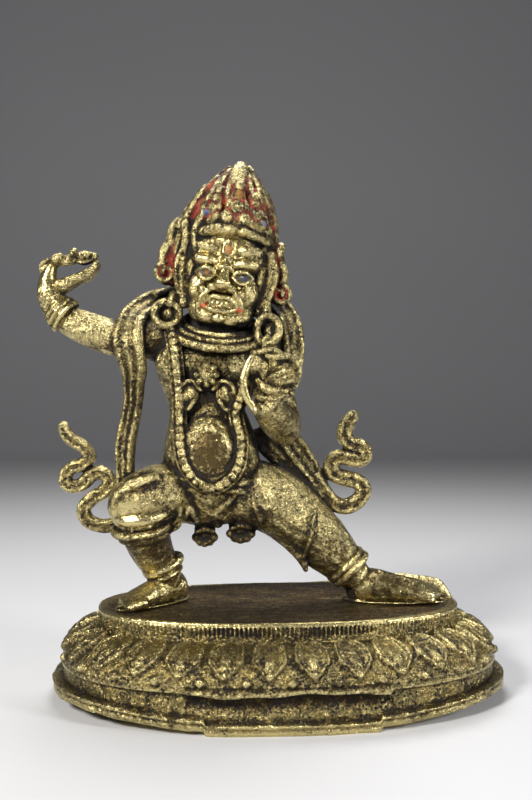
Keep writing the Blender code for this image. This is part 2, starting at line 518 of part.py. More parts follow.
def hair(s):
    """Upswept flaming locks in tiers, a tall front flame, and curls beside the ears."""
    nape = 345
    limb(s, [(x, 12 if z < nape else 6, z, r, r * HAIR_DEPTH * (0.86 if z < nape else 1))
             for z, x, r in HAIR_DOME], sides=24, cap=0.5)
    tiers = ((19, 312, 345, 384, 5.4, 0), (17, 345, 378, 408, 5.2, 10), (12, 372, 400, 424, 4.8, 0),
             (7, 398, 416, 429, 4.2, 20))
    for locks, low, middle, high, size, start in tiers:
        for k in range(locks):
            azimuth = start + 360 * k / locks
            if low < 340 and math.cos(math.radians(azimuth)) > 0.35:
                continue
            sway = 3.0 if k % 2 else -3.0
            height = high + (3 if k % 2 else -3)
            limb(s, [(*on_hair(azimuth, low, -1), size * 0.9, size),
                     (*on_hair(azimuth - sway, (low + middle) / 2, 1.5), size, size),
                     (*on_hair(azimuth + sway, middle, 2.5), size, size),
                     (*on_hair(azimuth + sway, height, 3.5), size * 0.8, size * 0.8)], sides=8, steps=3)
    limb(s, [(-44, -24, 392, 9, 6), (-42, -17, 408, 10.5, 7), (-40, -10, 422, 9.5, 7), (-38, -5, 431, 7, 6)])
    for centre, radius, start, way in (((-112, -9, 326), 11, 100, 1), ((1, -10, 304), 10, 70, -1)):
        ball(s, (centre[0], -1, centre[2]), (radius, 8, radius + 1))
        coil = []
        for k in range(10):
            a = math.radians(start + way * k * 50)
            r = radius * (1 - 0.085 * k)
            coil.append((centre[0] + math.cos(a) * r, centre[1] - 0.3 * k, centre[2] + math.sin(a) * r,
                         3.4 - 0.12 * k))
        limb(s, coil, sides=8)
    for curl in ([(-104, -2, 358, 6), (-112, -6, 350, 6.2), (-115, -7, 341, 5.4), (-116, -8, 334, 4.4)],
                 [(-100, -2, 340, 6), (-106, -4, 352, 6.5), (-107, -4, 363, 6), (-105, -3, 373, 4.6),
                  (-101, -2, 379, 3)],
                 [(-8, -2, 328, 6), (-5, -5, 339, 6), (0, -6, 347, 5.6), (2, -6, 351, 5)],
                 [(-2, -2, 340, 5), (3, -6, 331, 5.4), (5, -8, 322, 5), (3, -9, 315, 4)]):
        limb(s, curl, sides=10)
    ball(s, (-104, 2, 338), (13, 13, 26))
    ball(s, (-4, 2, 328), (12, 13, 26))


def figure_shells():
    s = Shells()
    for form in (torso, raised_arm, lowered_arm, bent_leg, straight_leg, garment, scarf, jewellery, head,
                 hair):
        form(s)
    points = np.vstack(s.points)
    # The soles are trimmed flat where they meet the plate
    points[:, 2] = np.maximum(points[:, 2], 0)
    turn = np.array(Matrix.Rotation(math.radians(STANCE_TURN), 3, "Z"))
    return points @ turn.T * MODULE + (0, 0, BASE_HEIGHT + SEAT_GAP), s.faces


# From shells to one casting

def mesh_object(name, points, faces):
    mesh = bpy.data.meshes.new(name)
    mesh.from_pydata([tuple(p) for p in points], [], faces)
    mesh.update()
    made = bpy.data.objects.new(name, mesh)
    bpy.context.scene.collection.objects.link(made)
    return made


def outer_skin(mesh):
    """Keeps the largest closed surface, so that no void is left sealed between the shells."""
    bm = bmesh.new()
    bm.from_mesh(mesh)
    unseen = set(bm.verts)
    islands = []
    while unseen:
        stack = [unseen.pop()]
        island = list(stack)
        while stack:
            for edge in stack.pop().link_edges:
                for vert in edge.verts:
                    if vert in unseen:
                        unseen.remove(vert)
                        stack.append(vert)
                        island.append(vert)
        islands.append(island)
    islands.sort(key=len)
    bmesh.ops.delete(bm, geom=[v for island in islands[:-1] for v in island], context="VERTS")
    bmesh.ops.triangulate(bm, faces=bm.faces)
    bmesh.ops.recalc_face_normals(bm, faces=bm.faces)
    bm.to_mesh(mesh)
    bm.free()


def cast(obj, grain):
    """Melts the overlapping shells into one surface; grain is the smallest form that survives."""
    remesh = obj.modifiers.new("Cast", "REMESH")
    remesh.mode = "VOXEL"
    remesh.voxel_size = grain
    bpy.context.view_layer.update()
    evaluated = obj.evaluated_get(bpy.context.evaluated_depsgraph_get())
    skin = bpy.data.meshes.new_from_object(evaluated)
    obj.modifiers.clear()
    obj.data = skin
    outer_skin(skin)


def thin_out(obj, triangles):
    """Collapses the finest facets until about this many triangles are left."""
    decimate = obj.modifiers.new("Facets", "DECIMATE")
    decimate.decimate_type = "COLLAPSE"
    decimate.ratio = min(1.0, triangles / len(obj.data.polygons))


def gilding(name, colour, roughness):
    made = bpy.data.materials.new(name)
    made.use_nodes = True
    shader = made.node_tree.nodes["Principled BSDF"]
    shader.inputs["Base Color"].default_value = (*colour, 1)
    shader.inputs["Metallic"].default_value = 1.0
    shader.inputs["Roughness"].default_value = roughness
    return made


# The lotus base: rows of points from the middle of the plate, down the outside and up the inside

def oval(angle, half_length, half_depth):
    c, s = math.cos(angle), math.sin(angle)
    return (half_length * math.copysign(abs(c) ** (2 / OVAL_POWER), c),
            half_depth * math.copysign(abs(s) ** (2 / OVAL_POWER), s))


def even_angles(count):
    """Angles that space points evenly along the oval through the middle of the petals."""
    fine = np.linspace(0, 2 * math.pi, 2881)
    outline = np.array([oval(a, HALF_LENGTH + PETAL_SPREAD_AT_ENDS / 2,
                             HALF_DEPTH + PETAL_SPREAD_AT_FRONT / 2) for a in fine])
    run = np.concatenate([[0], np.cumsum(np.linalg.norm(np.diff(outline, axis=0), axis=1))])
    return np.interp(np.arange(count) * run[-1] / count, run, fine)


def smooth(low, high, value):
    t = min(max((value - low) / (high - low), 0), 1)
    return t * t * (3 - 2 * t)


def petal_relief(t, v):
    """Height of the carving, 0 to 1; t runs -1 to 1 across a petal, and v 0 to 1 from round top to tip."""
    half = 0.84 - 0.45 * smooth(0.6, 0.9, v)
    if v < 0.34:
        half = 0.84 * math.sqrt(max(0.0, 1 - ((0.34 - v) / 0.32) ** 2))
    inside = half - abs(t)
    border = smooth(-0.06, 0.10, inside) - 0.5 * smooth(0.20, 0.32, inside)
    tongue = 0.6 * smooth(0.50, 0.66, inside)
    tip = 0.9 * smooth(0.0, 0.6, 1 - abs(t) / 0.26 - abs(v - 0.78) / 0.12)
    under = 0.9 * smooth(0.0, 0.6, 1 - (1 - abs(t)) / 0.24 - abs(v - 0.86) / 0.14)
    fade = smooth(0.0, 0.06, v) * (1 - 0.6 * smooth(0.94, 1.0, v))
    return max(border + tongue, tip, under, 0) * fade


def base_rows():
    """Rows of (reach past the plate at the ends, reach at the front, height, kind or place on the petal)."""
    foot, top = PETAL_FOOT_HEIGHT, BASE_HEIGHT - RIM_HEIGHT
    ends, front = PETAL_SPREAD_AT_ENDS, PETAL_SPREAD_AT_FRONT
    rows = [(-RIM_ROUNDING, -RIM_ROUNDING, BASE_HEIGHT, "rim"), (0, 0, BASE_HEIGHT - RIM_ROUNDING, "rim"),
            (0, 0, top, None)]
    for v in np.linspace(0.02, 1, 15):
        turn = v * math.pi / 2
        rows.append((math.sin(turn) * ends, math.sin(turn) * front, foot + (top - foot) * math.cos(turn), v))

    def outward(extra, height, kind=None):
        rows.append((ends + extra, front + extra, height, kind))

    under_lip = foot - LIP_THICKNESS
    outward(LIP_WIDTH, foot - LIP_THICKNESS / 4)
    outward(LIP_WIDTH, under_lip)
    outward(-BAND_INSET, under_lip - LIP_THICKNESS / 3)
    outward(-BAND_INSET * 1.2, (under_lip + FLANGE_THICKNESS) / 2 + 0.0006, "band")
    rows.append((ends, front - BAND_INSET * 0.8, FLANGE_THICKNESS + 0.0006, "flange"))
    rows.append((ends + FLANGE_WIDTH_AT_ENDS, front + FLANGE_WIDTH_AT_FRONT, FLANGE_THICKNESS, "flange"))
    rows.append((ends + FLANGE_WIDTH_AT_ENDS, front + FLANGE_WIDTH_AT_FRONT, 0, "flange"))
    outward(-BASE_WALL - BAND_INSET, 0, "flange")
    outward(-BASE_WALL - BAND_INSET, foot)
    rows.append((ends * 0.62 - BASE_WALL, front * 0.62 - BASE_WALL, (foot + top) / 2, None))
    rows.append((-BASE_WALL, -BASE_WALL, top - BASE_WALL / 2, None))
    rows.append((-BASE_WALL * 1.5, -BASE_WALL * 1.5, BASE_HEIGHT - BASE_WALL, None))
    return rows


def flange_lift(x):
    """The foot is bent: it rests on its middle, steps up at two old breaks and rises to both ends."""
    end = HALF_LENGTH + PETAL_SPREAD_AT_ENDS
    if BREAK_LEFT < x < BREAK_RIGHT:
        return 0.0
    return FLANGE_STEP + (FLANGE_END_LIFT - FLANGE_STEP) * smooth(0.35, 1.0, abs(x) / end)


def rim_rise(x, y):
    """One end of the plate is turned up behind the forward foot."""
    turn = math.degrees(math.atan2(y / HALF_DEPTH, x / HALF_LENGTH))
    return END_RIM_RISE * smooth(0, 22, turn) * (1 - smooth(38, 80, turn))


def base_point(angle, petal_place, row):
    ends, front, height, kind = row
    x, y = oval(angle, HALF_LENGTH + ends, HALF_DEPTH + front)
    point = np.array((x, y, height))
    if kind == "flange":
        point[2] += flange_lift(x)
    elif kind == "band":
        point[2] += flange_lift(x) / 2
    elif kind == "rim":
        point[2] += rim_rise(x, y)
    elif kind is not None:
        out = unit(np.array((x / HALF_LENGTH, y / HALF_DEPTH, 0)))
        turn = kind * math.pi / 2
        out = unit(out * math.sin(turn) + np.array((0, 0, 1)) * math.cos(turn) * 1.3)
        point += out * PETAL_RELIEF * petal_relief(2 * petal_place - 1, kind)
    return point


def lotus_base():
    columns = PETAL_COUNT * COLUMNS_PER_PETAL
    angles = even_angles(columns)
    points = [(0, 0, BASE_HEIGHT)]
    plate = [oval(a, HALF_LENGTH, HALF_DEPTH) for a in angles]
    loops = [[(x * PLATE_FLAT, y * PLATE_FLAT, BASE_HEIGHT) for x, y in plate]]
    loops += [[base_point(angles[i], i % COLUMNS_PER_PETAL / COLUMNS_PER_PETAL, row) for i in range(columns)]
              for row in base_rows()]
    for loop in loops:
        points += loop
    points.append((0, 0, BASE_HEIGHT - BASE_WALL))
    base = mesh_object("lotus_base", points, sweep_faces(len(loops), columns))
    bm = bmesh.new()
    bm.from_mesh(base.data)
    bmesh.ops.triangulate(bm, faces=bm.faces)
    bmesh.ops.recalc_face_normals(bm, faces=bm.faces)
    bm.to_mesh(base.data)
    bm.free()
    base.data.shade_smooth()
    base.data.set_sharp_from_angle(angle=PIECE_SHARPNESS)
    thin_out(base, BASE_TRIANGLES)
    base.data.materials.append(gilding("gilt base", GILT_DARK, BASE_ROUGHNESS))
    return base


def figure():
    points, faces = figure_shells()
    made = mesh_object("guardian_figure", points, faces)
    cast(made, CASTING_GRAIN)
    made.data.shade_smooth()
    thin_out(made, FIGURE_TRIANGLES)
    made.data.materials.append(gilding("gilt figure", GILT, FIGURE_ROUGHNESS))
    return made


def centre_over_origin(nodes):
    """Shifts the object level, so that the origin is under the middle of its box."""
    bpy.context.view_layer.update()
    seen = bpy.context.evaluated_depsgraph_get()
    corners = np.array([corner for node in nodes for corner in node.evaluated_get(seen).bound_box])
    middle = (corners.min(axis=0) + corners.max(axis=0)) / 2
    for node in nodes:
        node.data.transform(Matrix.Translation((-middle[0], -middle[1], 0)))


def clear_scene():
    for old in list(bpy.data.objects):
        bpy.data.objects.remove(old)


clear_scene()
centre_over_origin([lotus_base(), figure()])
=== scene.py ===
"""The looks of a small gilt figure of a striding guardian deity on an oval lotus base.

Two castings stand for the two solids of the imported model: the figure and the hollow lotus base. Both are
built again from the same forms at a finer grain, then chased, worn and coloured. Metres, +Z up.
"""

import math

import bmesh
import bpy
import numpy as np
from mathutils import Matrix, Vector, bvhtree, noise


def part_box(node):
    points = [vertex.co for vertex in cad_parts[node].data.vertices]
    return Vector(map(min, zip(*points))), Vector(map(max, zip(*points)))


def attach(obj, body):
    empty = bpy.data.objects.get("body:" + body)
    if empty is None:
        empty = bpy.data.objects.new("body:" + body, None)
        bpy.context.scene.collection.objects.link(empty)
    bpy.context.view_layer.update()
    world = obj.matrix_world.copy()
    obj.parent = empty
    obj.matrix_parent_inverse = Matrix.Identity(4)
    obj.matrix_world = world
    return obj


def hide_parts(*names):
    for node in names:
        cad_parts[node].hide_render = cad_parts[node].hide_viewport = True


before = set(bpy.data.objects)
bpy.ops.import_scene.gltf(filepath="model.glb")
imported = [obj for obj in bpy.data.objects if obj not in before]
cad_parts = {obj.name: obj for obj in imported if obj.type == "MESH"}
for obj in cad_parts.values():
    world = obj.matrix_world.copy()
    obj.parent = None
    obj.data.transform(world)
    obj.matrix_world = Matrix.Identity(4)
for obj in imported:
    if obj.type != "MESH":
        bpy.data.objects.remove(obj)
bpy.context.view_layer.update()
BASE_LOW, BASE_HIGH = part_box("lotus_base")
FIGURE_LOW, FIGURE_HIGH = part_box("guardian_figure")

# Figure: its height drives its module, and every pose point below is counted in modules
FIGURE_HEIGHT = 0.126
MODULES_TALL = 438
MODULE = FIGURE_HEIGHT / MODULES_TALL
STANCE_REACH = 170 * MODULE
STANCE_TURN = -4.0
FIGURE_TRIANGLES = 190000
CASTING_GRAIN = 0.00031
OBJECT_CENTRE = Vector(((BASE_LOW.x + BASE_HIGH.x) / 2, (BASE_LOW.y + BASE_HIGH.y) / 2, 0))

# Lotus base
BASE_HEIGHT = 0.0242
OVAL_POWER = 2.35
PLATE_END_MARGIN = 0.0023
PLATE_DEPTH = 0.0530
RIM_HEIGHT = 0.0052
RIM_ROUNDING = 0.0004
END_RIM_RISE = 0.0040
PETAL_COUNT = 28
COLUMNS_PER_PETAL = 32
PETAL_ROWS = 36
PETAL_RELIEF = 0.0013
PETAL_SPREAD_AT_ENDS = 0.0095
PETAL_SPREAD_AT_FRONT = 0.0128
PETAL_FOOT_HEIGHT = 0.0112
LIP_THICKNESS = 0.0011
LIP_WIDTH = 0.0006
BAND_INSET = 0.0010
FLANGE_WIDTH_AT_ENDS = 0.0027
FLANGE_WIDTH_AT_FRONT = 0.0005
FLANGE_THICKNESS = 0.0024
FLANGE_STEP = 0.0012
FLANGE_END_LIFT = 0.0036
BASE_WALL = 0.0024
SEAT_GAP = 0.0003

HALF_LENGTH = STANCE_REACH + PLATE_END_MARGIN
HALF_DEPTH = PLATE_DEPTH / 2

# Closed shells that the casting is built up from

class Shells:
    """Closed shells that overlap; cast() melts them into one surface."""

    def __init__(self):
        self.points = []
        self.faces = []
        self.count = 0

    def add(self, points, faces):
        """Adds one closed shell."""
        self.points.append(np.asarray(points, float))
        self.faces.extend(tuple(i + self.count for i in face) for face in faces)
        self.count += len(points)

    def join(self, other, matrix):
        """Adds all shells of other, moved by matrix."""
        turn = np.array(matrix.to_3x3())
        shift = np.array(matrix.translation)
        self.add(np.vstack(other.points) @ turn.T + shift, other.faces)


def through(rows, steps):
    """Rows of numbers on a smooth curve through the given rows, with steps spans between neighbours."""
    rows = np.asarray(rows, float)
    padded = np.vstack([2 * rows[0] - rows[1], rows, 2 * rows[-1] - rows[-2]])
    found = []
    for i in range(1, len(padded) - 2):
        a, b, c, d = padded[i - 1 : i + 3]
        for t in np.linspace(0, 1, steps, endpoint=False):
            found.append(0.5 * (2 * b + (c - a) * t + (2 * a - 5 * b + 4 * c - d) * t**2
                                + (3 * b - a - 3 * c + d) * t**3))
    found.append(rows[-1])
    return np.array(found)


def unit(v):
    return v / max(np.linalg.norm(v), 1e-9)


def sweep_faces(loops, sides):
    """Faces of a capped tube whose points are one pole, the loops, and the other pole."""
    last = 1 + loops * sides
    faces = []
    for j in range(sides):
        k = (j + 1) % sides
        faces.append((0, 1 + k, 1 + j))
        for i in range(loops - 1):
            a, b = 1 + i * sides, 1 + (i + 1) * sides
            faces.append((a + j, a + k, b + k, b + j))
        faces.append((last, last - sides + j, last - sides + k))
    return faces


def limb(shells, rows, facing=(0, -1, 0), sides=12, steps=4, cap=1.0):
    """A rounded tube along rows of (x, y, z, half width[, half depth]); the depth lies along facing."""
    rows = [r if len(r) == 5 else (*r, r[3]) for r in rows]
    path = through(rows, steps)
    centre, width, depth = path[:, :3], np.maximum(path[:, 3], 0.3), np.maximum(path[:, 4], 0.3)
    rings = []
    for i, (c, t) in enumerate(zip(centre, np.gradient(centre, axis=0))):
        t = unit(t)
        front = np.asarray(facing, float)
        front = front - (front @ t) * t
        if np.linalg.norm(front) < 0.15:
            front = np.cross(t, (1, 0, 0)) if abs(t[0]) < 0.9 else np.cross(t, (0, 0, 1))
        front = unit(front)
        rings.append((c, t, np.cross(t, front), front, width[i], depth[i]))
    angles = np.linspace(0, 2 * math.pi, sides, endpoint=False)
    cos, sin = np.cos(angles)[:, None], np.sin(angles)[:, None]

    def circle(ring, scale, shift):
        c, t, side, front, w, d = ring
        return c + t * shift + side * cos * w * scale + front * sin * d * scale

    def cap_length(ring):
        return cap * min(ring[4], ring[5])

    cap_angles = [math.radians(a) for a in (68, 45, 22)]
    points = [(rings[0][0] - rings[0][1] * cap_length(rings[0]))[None, :]]
    points += [circle(rings[0], math.cos(a), -math.sin(a) * cap_length(rings[0])) for a in cap_angles]
    points += [circle(r, 1, 0) for r in rings]
    points += [circle(rings[-1], math.cos(a), math.sin(a) * cap_length(rings[-1])) for a in cap_angles[::-1]]
    points.append((rings[-1][0] + rings[-1][1] * cap_length(rings[-1]))[None, :])
    shells.add(np.vstack(points), sweep_faces(len(points) - 2, sides))


def ball(shells, centre, radii, turn=(0, 0, 0), sides=14, square=1.0):
    """An ellipsoid; turn is its rotation about x, y and z in degrees; a square below 1 makes it a block."""
    radii = (radii,) * 3 if np.isscalar(radii) else radii
    cuts = sides // 2 + 1
    points = [(0, 0, -1)]
    for i in range(1, cuts):
        polar = math.pi * i / cuts
        for j in range(sides):
            angle = 2 * math.pi * j / sides
            points.append((math.sin(polar) * math.cos(angle), math.sin(polar) * math.sin(angle),
                           -math.cos(polar)))
    points.append((0, 0, 1))
    matrix = np.array(Matrix.Rotation(math.radians(turn[2]), 3, "Z")
                      @ Matrix.Rotation(math.radians(turn[1]), 3, "Y")
                      @ Matrix.Rotation(math.radians(turn[0]), 3, "X"))
    points = np.array(points)
    points = np.sign(points) * np.abs(points) ** square
    shells.add(points * radii @ matrix.T + centre, sweep_faces(cuts - 1, sides))


def ring(shells, centre, normal, radii, thickness, up=(0, 0, 1), sides=10, turns=32):
    """A closed torus about normal; radii are its half sizes across and along up, thickness its tube radii."""
    thickness = (thickness,) * 2 if np.isscalar(thickness) else thickness
    radii = (radii,) * 2 if np.isscalar(radii) else radii
    normal = unit(np.asarray(normal, float))
    up = np.asarray(up, float)
    up = unit(up - (up @ normal) * normal)
    side = np.cross(up, normal)
    points = []
    for i in range(turns):
        a = 2 * math.pi * i / turns
        out = side * math.cos(a) * radii[0] + up * math.sin(a) * radii[1]
        for j in range(sides):
            b = 2 * math.pi * j / sides
            points.append(centre + out + unit(out) * math.cos(b) * thickness[0]
                          + normal * math.sin(b) * thickness[1])
    faces = []
    for i in range(turns):
        for j in range(sides):
            m, n = (i + 1) % turns, (j + 1) % sides
            faces.append((i * sides + j, i * sides + n, m * sides + n, m * sides + j))
    shells.add(points, faces)


def beads(shells, rows, count, radii, square=1.0):
    """Balls or blocks strung evenly along a curve through rows of (x, y, z)."""
    path = through(rows, 12)
    run = np.concatenate([[0], np.cumsum(np.linalg.norm(np.diff(path, axis=0), axis=1))])
    for s in np.linspace(0, run[-1], count):
        centre, ahead = (np.array([np.interp(at, run, path[:, k]) for k in range(3)]) for at in (s, s + 1))
        heading = ahead - centre if s + 1 < run[-1] else np.array((0, 0, 1))
        ball(shells, centre, radii, (0, math.degrees(math.atan2(heading[0], heading[2])), 0), 10, square)


def rosette(shells, centre, radius, lobes=8, depth=0.6):
    """A flower boss that faces the viewer: a round heart in a ring of lobes."""
    x, y, z = centre
    ball(shells, centre, (radius * 0.7, radius * depth, radius * 0.7))
    for i in range(lobes):
        a = 2 * math.pi * i / lobes
        ball(shells, (x + math.cos(a) * radius * 0.72, y, z + math.sin(a) * radius * 0.72),
             (radius * 0.3, radius * depth * 0.85, radius * 0.3), sides=8)
    ball(shells, (x, y - radius * depth * 0.6, z), radius * 0.32, sides=8)


def ribbon(shells, rows, thickness, facing=(0, -1, 0), folds=2):
    """A cast scarf along rows of (x, y, z, width): side-by-side cords with a groove between them."""
    path = through(rows, 3)
    tangent = np.gradient(path[:, :3], axis=0)
    facing = np.asarray(facing, float)
    for k in range(folds):
        place = (k + 0.5) / folds - 0.5
        cord = []
        for p, t in zip(path, tangent):
            t = unit(t)
            front = unit(facing - (facing @ t) * t)
            side = np.cross(t, front)
            cord.append((*(p[:3] + side * place * p[3]), p[3] / folds * 0.56, thickness / 2))
        limb(shells, cord, facing=facing, sides=10, steps=1)
    slab = [(*p[:3], p[3] * 0.47, thickness * 0.44) for p in path]
    limb(shells, slab, facing=facing, sides=16, steps=1)


# The figure, in modules above the plate

HEAD_CENTRE = (-53, -1, 319)
HEAD_TILT = 8.2


def torso(s):
    """Trunk, neck, belly and chest, from the hips up."""
    limb(s, [(-65, 5, 100, 50, 38), (-67, -2, 123, 50, 41), (-68, -2, 146, 48, 40), (-70, 1, 170, 43, 34),
             (-72, 3, 190, 38, 32), (-71, 4, 208, 46, 32), (-69, 4, 231, 57, 33), (-65, 6, 251, 62, 31),
             (-61, 8, 266, 54, 25), (-58, 4, 279, 32, 24), (-56, 0, 297, 26, 24)], sides=24, cap=0.6)
    ball(s, (-69, -18, 150), (36, 30, 38), sides=20)
    for side in (-1, 1):
        ball(s, (-69 + side * 27, -12, 236), (27, 17, 21))
        ball(s, (-69 + side * 20, 22, 236), (26, 15, 30))
    ball(s, (-62, 4, 99), (36, 30, 24))
    limb(s, [(-69, -49, 170, 3.4), (-69, -50, 174, 3.4)], sides=8)


def raised_arm(s):
    """The right arm, lifted sideways, with curled fingers, a triple wrist ring and the sceptre."""
    limb(s, [(-112, 8, 261, 24), (-130, 5, 260.5, 21.5), (-150, 3, 261, 20), (-165, 0, 262, 18.8),
             (-182, -2, 267.5, 17.8), (-195, -3, 272.5, 16.8), (-206, -4, 278, 15.5), (-216, -5, 286, 14.2),
             (-224, -6, 296, 13.5), (-228, -7, 306, 12.6), (-229, -8, 317, 9.5, 10),
             (-226.5, -9, 327, 6.5, 8), (-222.5, -10, 335, 4.5, 6)], sides=16)
    for depth in (-15, -8, -1, 5):
        limb(s, [(-216, depth, 312, 7, 5), (-204, depth, 318, 5, 4.2), (-191.5, depth, 323.5, 4.6, 4),
                 (-184, depth * 0.8 - 2, 329, 3.6), (-180.5, depth * 0.6 - 4, 334.5, 3)], sides=8)
    limb(s, [(-223, -12, 333, 4), (-219.5, -16, 338.5, 4.6), (-216, -13, 341, 4)], sides=8)
    # The wrist ring is a triple band that leans with the hand
    for x, y, z, size, thick in ((-221, -6, 291, 14.2, 2.2), (-217, -5.5, 287.5, 15.6, 2.8),
                                 (-212.5, -5, 283.5, 16.6, 3)):
        ring(s, (x, y, z), (0.78, 0, -0.63), size, thick)
    ball(s, (-225, -14, 279), 4.2, sides=8)
    vajra(s)


def vajra(s):
    """A double-ended thunderbolt sceptre: a grip, and at each end closed prongs round a spike."""
    middle = np.array((-209.0, -10.0, 338.0))
    axis = unit(np.array((50.0, 0.0, 7.0)))
    up = np.cross((0, 1, 0), axis)
    limb(s, [(*(middle - axis * 13), 5), (*middle, 5.6), (*(middle + axis * 10), 4.6)], sides=12)
    for quarter in range(4):
        angle = math.radians(45 + 90 * quarter)
        out = up * math.cos(angle) + np.array((0, 1, 0)) * math.sin(angle)
        limb(s, [(*(middle + axis * (9 + along) + out * far), 2.4)
                 for along, far in ((0, 3), (5, 6), (11, 5.5), (17, 2))], sides=8)
        limb(s, [(-223 + out[0] * 3, -8 + out[1] * 3, 336 + out[2] * 3, 3),
                 (-229 + out[0] * 5, -8 + out[1] * 5, 334 + out[2] * 4, 3.2),
                 (-235 + out[0] * 4, -8 + out[1] * 4, 330 + out[2] * 3, 3)], sides=8)
    limb(s, [(*(middle + axis * 9), 4), (*(middle + axis * 25), 3.4), (*(middle + axis * 29), 2.2)])
    ball(s, middle + axis * 17 + np.array((0, -6, 2)), (7, 4, 4.2), turn=(0, -8, 0))
    ball(s, middle + axis * 27, (4, 4, 3.8))
    limb(s, [(*(middle + axis * 6 - up * 3), 3.4), (*(middle + axis * 7 - up * 8), 3.8)], sides=8)


def lowered_arm(s):
    """The left arm, bent at the elbow, with its hand before the chest and the noose."""
    limb(s, [(-12, 8, 258, 22), (-5, 8, 240, 19), (-3, 4, 222, 17), (-1, 0, 207, 16), (2, -6, 190, 17),
             (4, -12, 176, 17.5)], sides=16)
    limb(s, [(4, -14, 173, 17.5), (-2, -28, 180, 17.5), (-8, -42, 189, 16.5), (-10, -52, 198, 14.5),
             (-7, -56, 208, 12.5), (-3, -57, 216, 12.5), (3, -56, 225, 10.5)], sides=14)
    ball(s, (3, -55, 222), (15.5, 10, 11))
    for shift in (0, 5, 10):
        limb(s, [(16, -54, 231 - shift, 2.8), (8, -63, 228 - shift, 3), (-4, -67, 223 - shift, 2.8),
                 (-12, -65, 218 - shift * 0.6, 2.2)], sides=8)
    limb(s, [(-21, -65, 218, 2.4), (-15, -69, 212, 4.4, 3.4), (-7, -71, 208.5, 4.4, 3.4),
             (1, -69, 209, 2.6)], sides=10)
    ring(s, (-8, -56, 208), (-0.25, -0.45, 0.86), (15, 14), (2.8, 3.6))
    beads(s, [(5, -67, 208), (11, -61, 206)], 2, 3)
    for row in ([(13, -52, 214, 4.6), (17, -54, 225, 4.2), (15.5, -57, 234, 3.8), (9, -62, 240, 3.4),
                 (1, -67, 240, 3.2), (-7, -69, 239, 3), (-12, -68, 240.5, 2.4)],
                [(8, -50, 228, 4), (4, -54, 240, 3.6), (-6, -60, 246, 3.4), (-14, -66, 245.5, 3),
                 (-25, -69, 243.5, 2.8)],
                [(-10, -56, 214, 4.4), (-15, -61, 224, 3.8), (-14, -64, 233, 3)],
                [(-14.5, -64, 247, 2), (-15, -62, 255, 2.2), (-12, -61, 259, 2.2), (-9, -61, 257.5, 1.8)]):
        limb(s, row, sides=8)
    # The noose hangs from the fingers as a flat hoop that ends in a leaf across the forearm
    limb(s, [(-24, -70, 243, 3), (-30, -71, 232, 3.6), (-33.5, -71, 220, 3.8), (-32.8, -71, 208, 3.8),
             (-29, -71, 199, 3.8), (-22.5, -70, 190, 4)], sides=10)
    limb(s, [(-23, -69, 188, 3, 2.5), (-14, -69, 191.5, 5.2, 3), (-6, -68, 197.5, 5, 3),
             (1, -65, 204, 2, 2.5)], sides=10)


def bent_leg(s):
    """The right leg, bent at the knee, with its bands, anklet and foot."""
    limb(s, [(-81, 0, 109, 33), (-104, -12, 109, 31), (-124, -24, 105, 30), (-138, -31, 99, 28)], sides=18)
    limb(s, [(-134, -28, 86, 25), (-130, -22, 68, 23), (-125, -14, 52, 21), (-117, -5, 34, 17.5),
             (-113, -2, 20, 16)], sides=16)
    ring(s, (-134, -27, 76.5), (0.12, 0.2, -0.97), (27, 26), (3.4, 4), up=(0, 1, 0))
    ring(s, (-131, -23, 69), (0.12, 0.2, -0.97), (24, 23), (2.4, 3.4), up=(0, 1, 0))
    ring(s, (-115.5, -4, 36), (-0.37, -0.2, 0.9), 18.5, (4, 4.4), up=(0, 1, 0))
    ring(s, (-114, -3, 28), (-0.3, -0.2, 0.93), 17, (2.2, 2.4), up=(0, 1, 0))
    foot(s, heel=(-103, 6), toe=(-149, -41), heights=(16, 15.5, 13, 10, 7), width=14)
    # A fold of the skin frames the knee, from the top down its outer side and along its foot
    limb(s, [(-118, -44, 126, 5.5, 4.5), (-132, -49.5, 122, 6, 5), (-145, -51, 116, 6, 5),
             (-154, -49, 106, 5, 4.6), (-156, -46, 96, 4.6, 4)], facing=(0, -1, 0.3))
    limb(s, [(-154, -46, 90, 5, 4), (-144, -54, 87, 6.5, 4.6), (-130, -55.5, 87.5, 7, 4.6),
             (-116, -50, 90, 6, 4), (-106, -42, 95, 4, 3)], facing=(0, -1, 0.3))
    for x, depth, low, high in ((-106, 43, 82, 112), (-99, 40, 80, 108), (-92, 37, 82, 104)):
        limb(s, [(x, 4 - depth, high, 1.8), (x + 4, 2 - depth, (low + high) / 2, 2.4),
                 (x - 3, 8 - depth, low, 1.8)], sides=8)


def straight_leg(s):
    """The left leg, stretched out to the side, with its anklet, hem and foot."""
    limb(s, [(-39, 0, 109, 34), (-17, 0, 104, 34), (6, 0, 91, 32), (29, 0, 71, 30), (47, 0, 54, 27),
             (64, 0, 37, 21.5), (74, 0, 26, 17)], sides=18)
    ring(s, (71, 0, 31), (0.7, 0, -0.71), 21, (3.4, 3.8), up=(0, 1, 0))
    ring(s, (66, 0, 36), (0.7, 0, -0.71), 21.5, (2.2, 2.6), up=(0, 1, 0))
    limb(s, [(10, -14, 66, 12, 7), (18, -16, 54, 9, 6), (23, -16, 43, 5.5, 5), (26, -15, 33, 2.5)])
    # The hem of the tiger skin crosses the leg as a fine raised line
    limb(s, [(35, -20.5, 95, 1.6), (33, -28, 82, 1.6), (31, -29.8, 70, 1.6), (27, -27.8, 57, 1.6),
             (24, -21, 46, 1.6)], sides=8)
    foot(s, heel=(78, 1), toe=(158, -4), heights=(18, 18, 15, 12.5, 9), width=15.5)


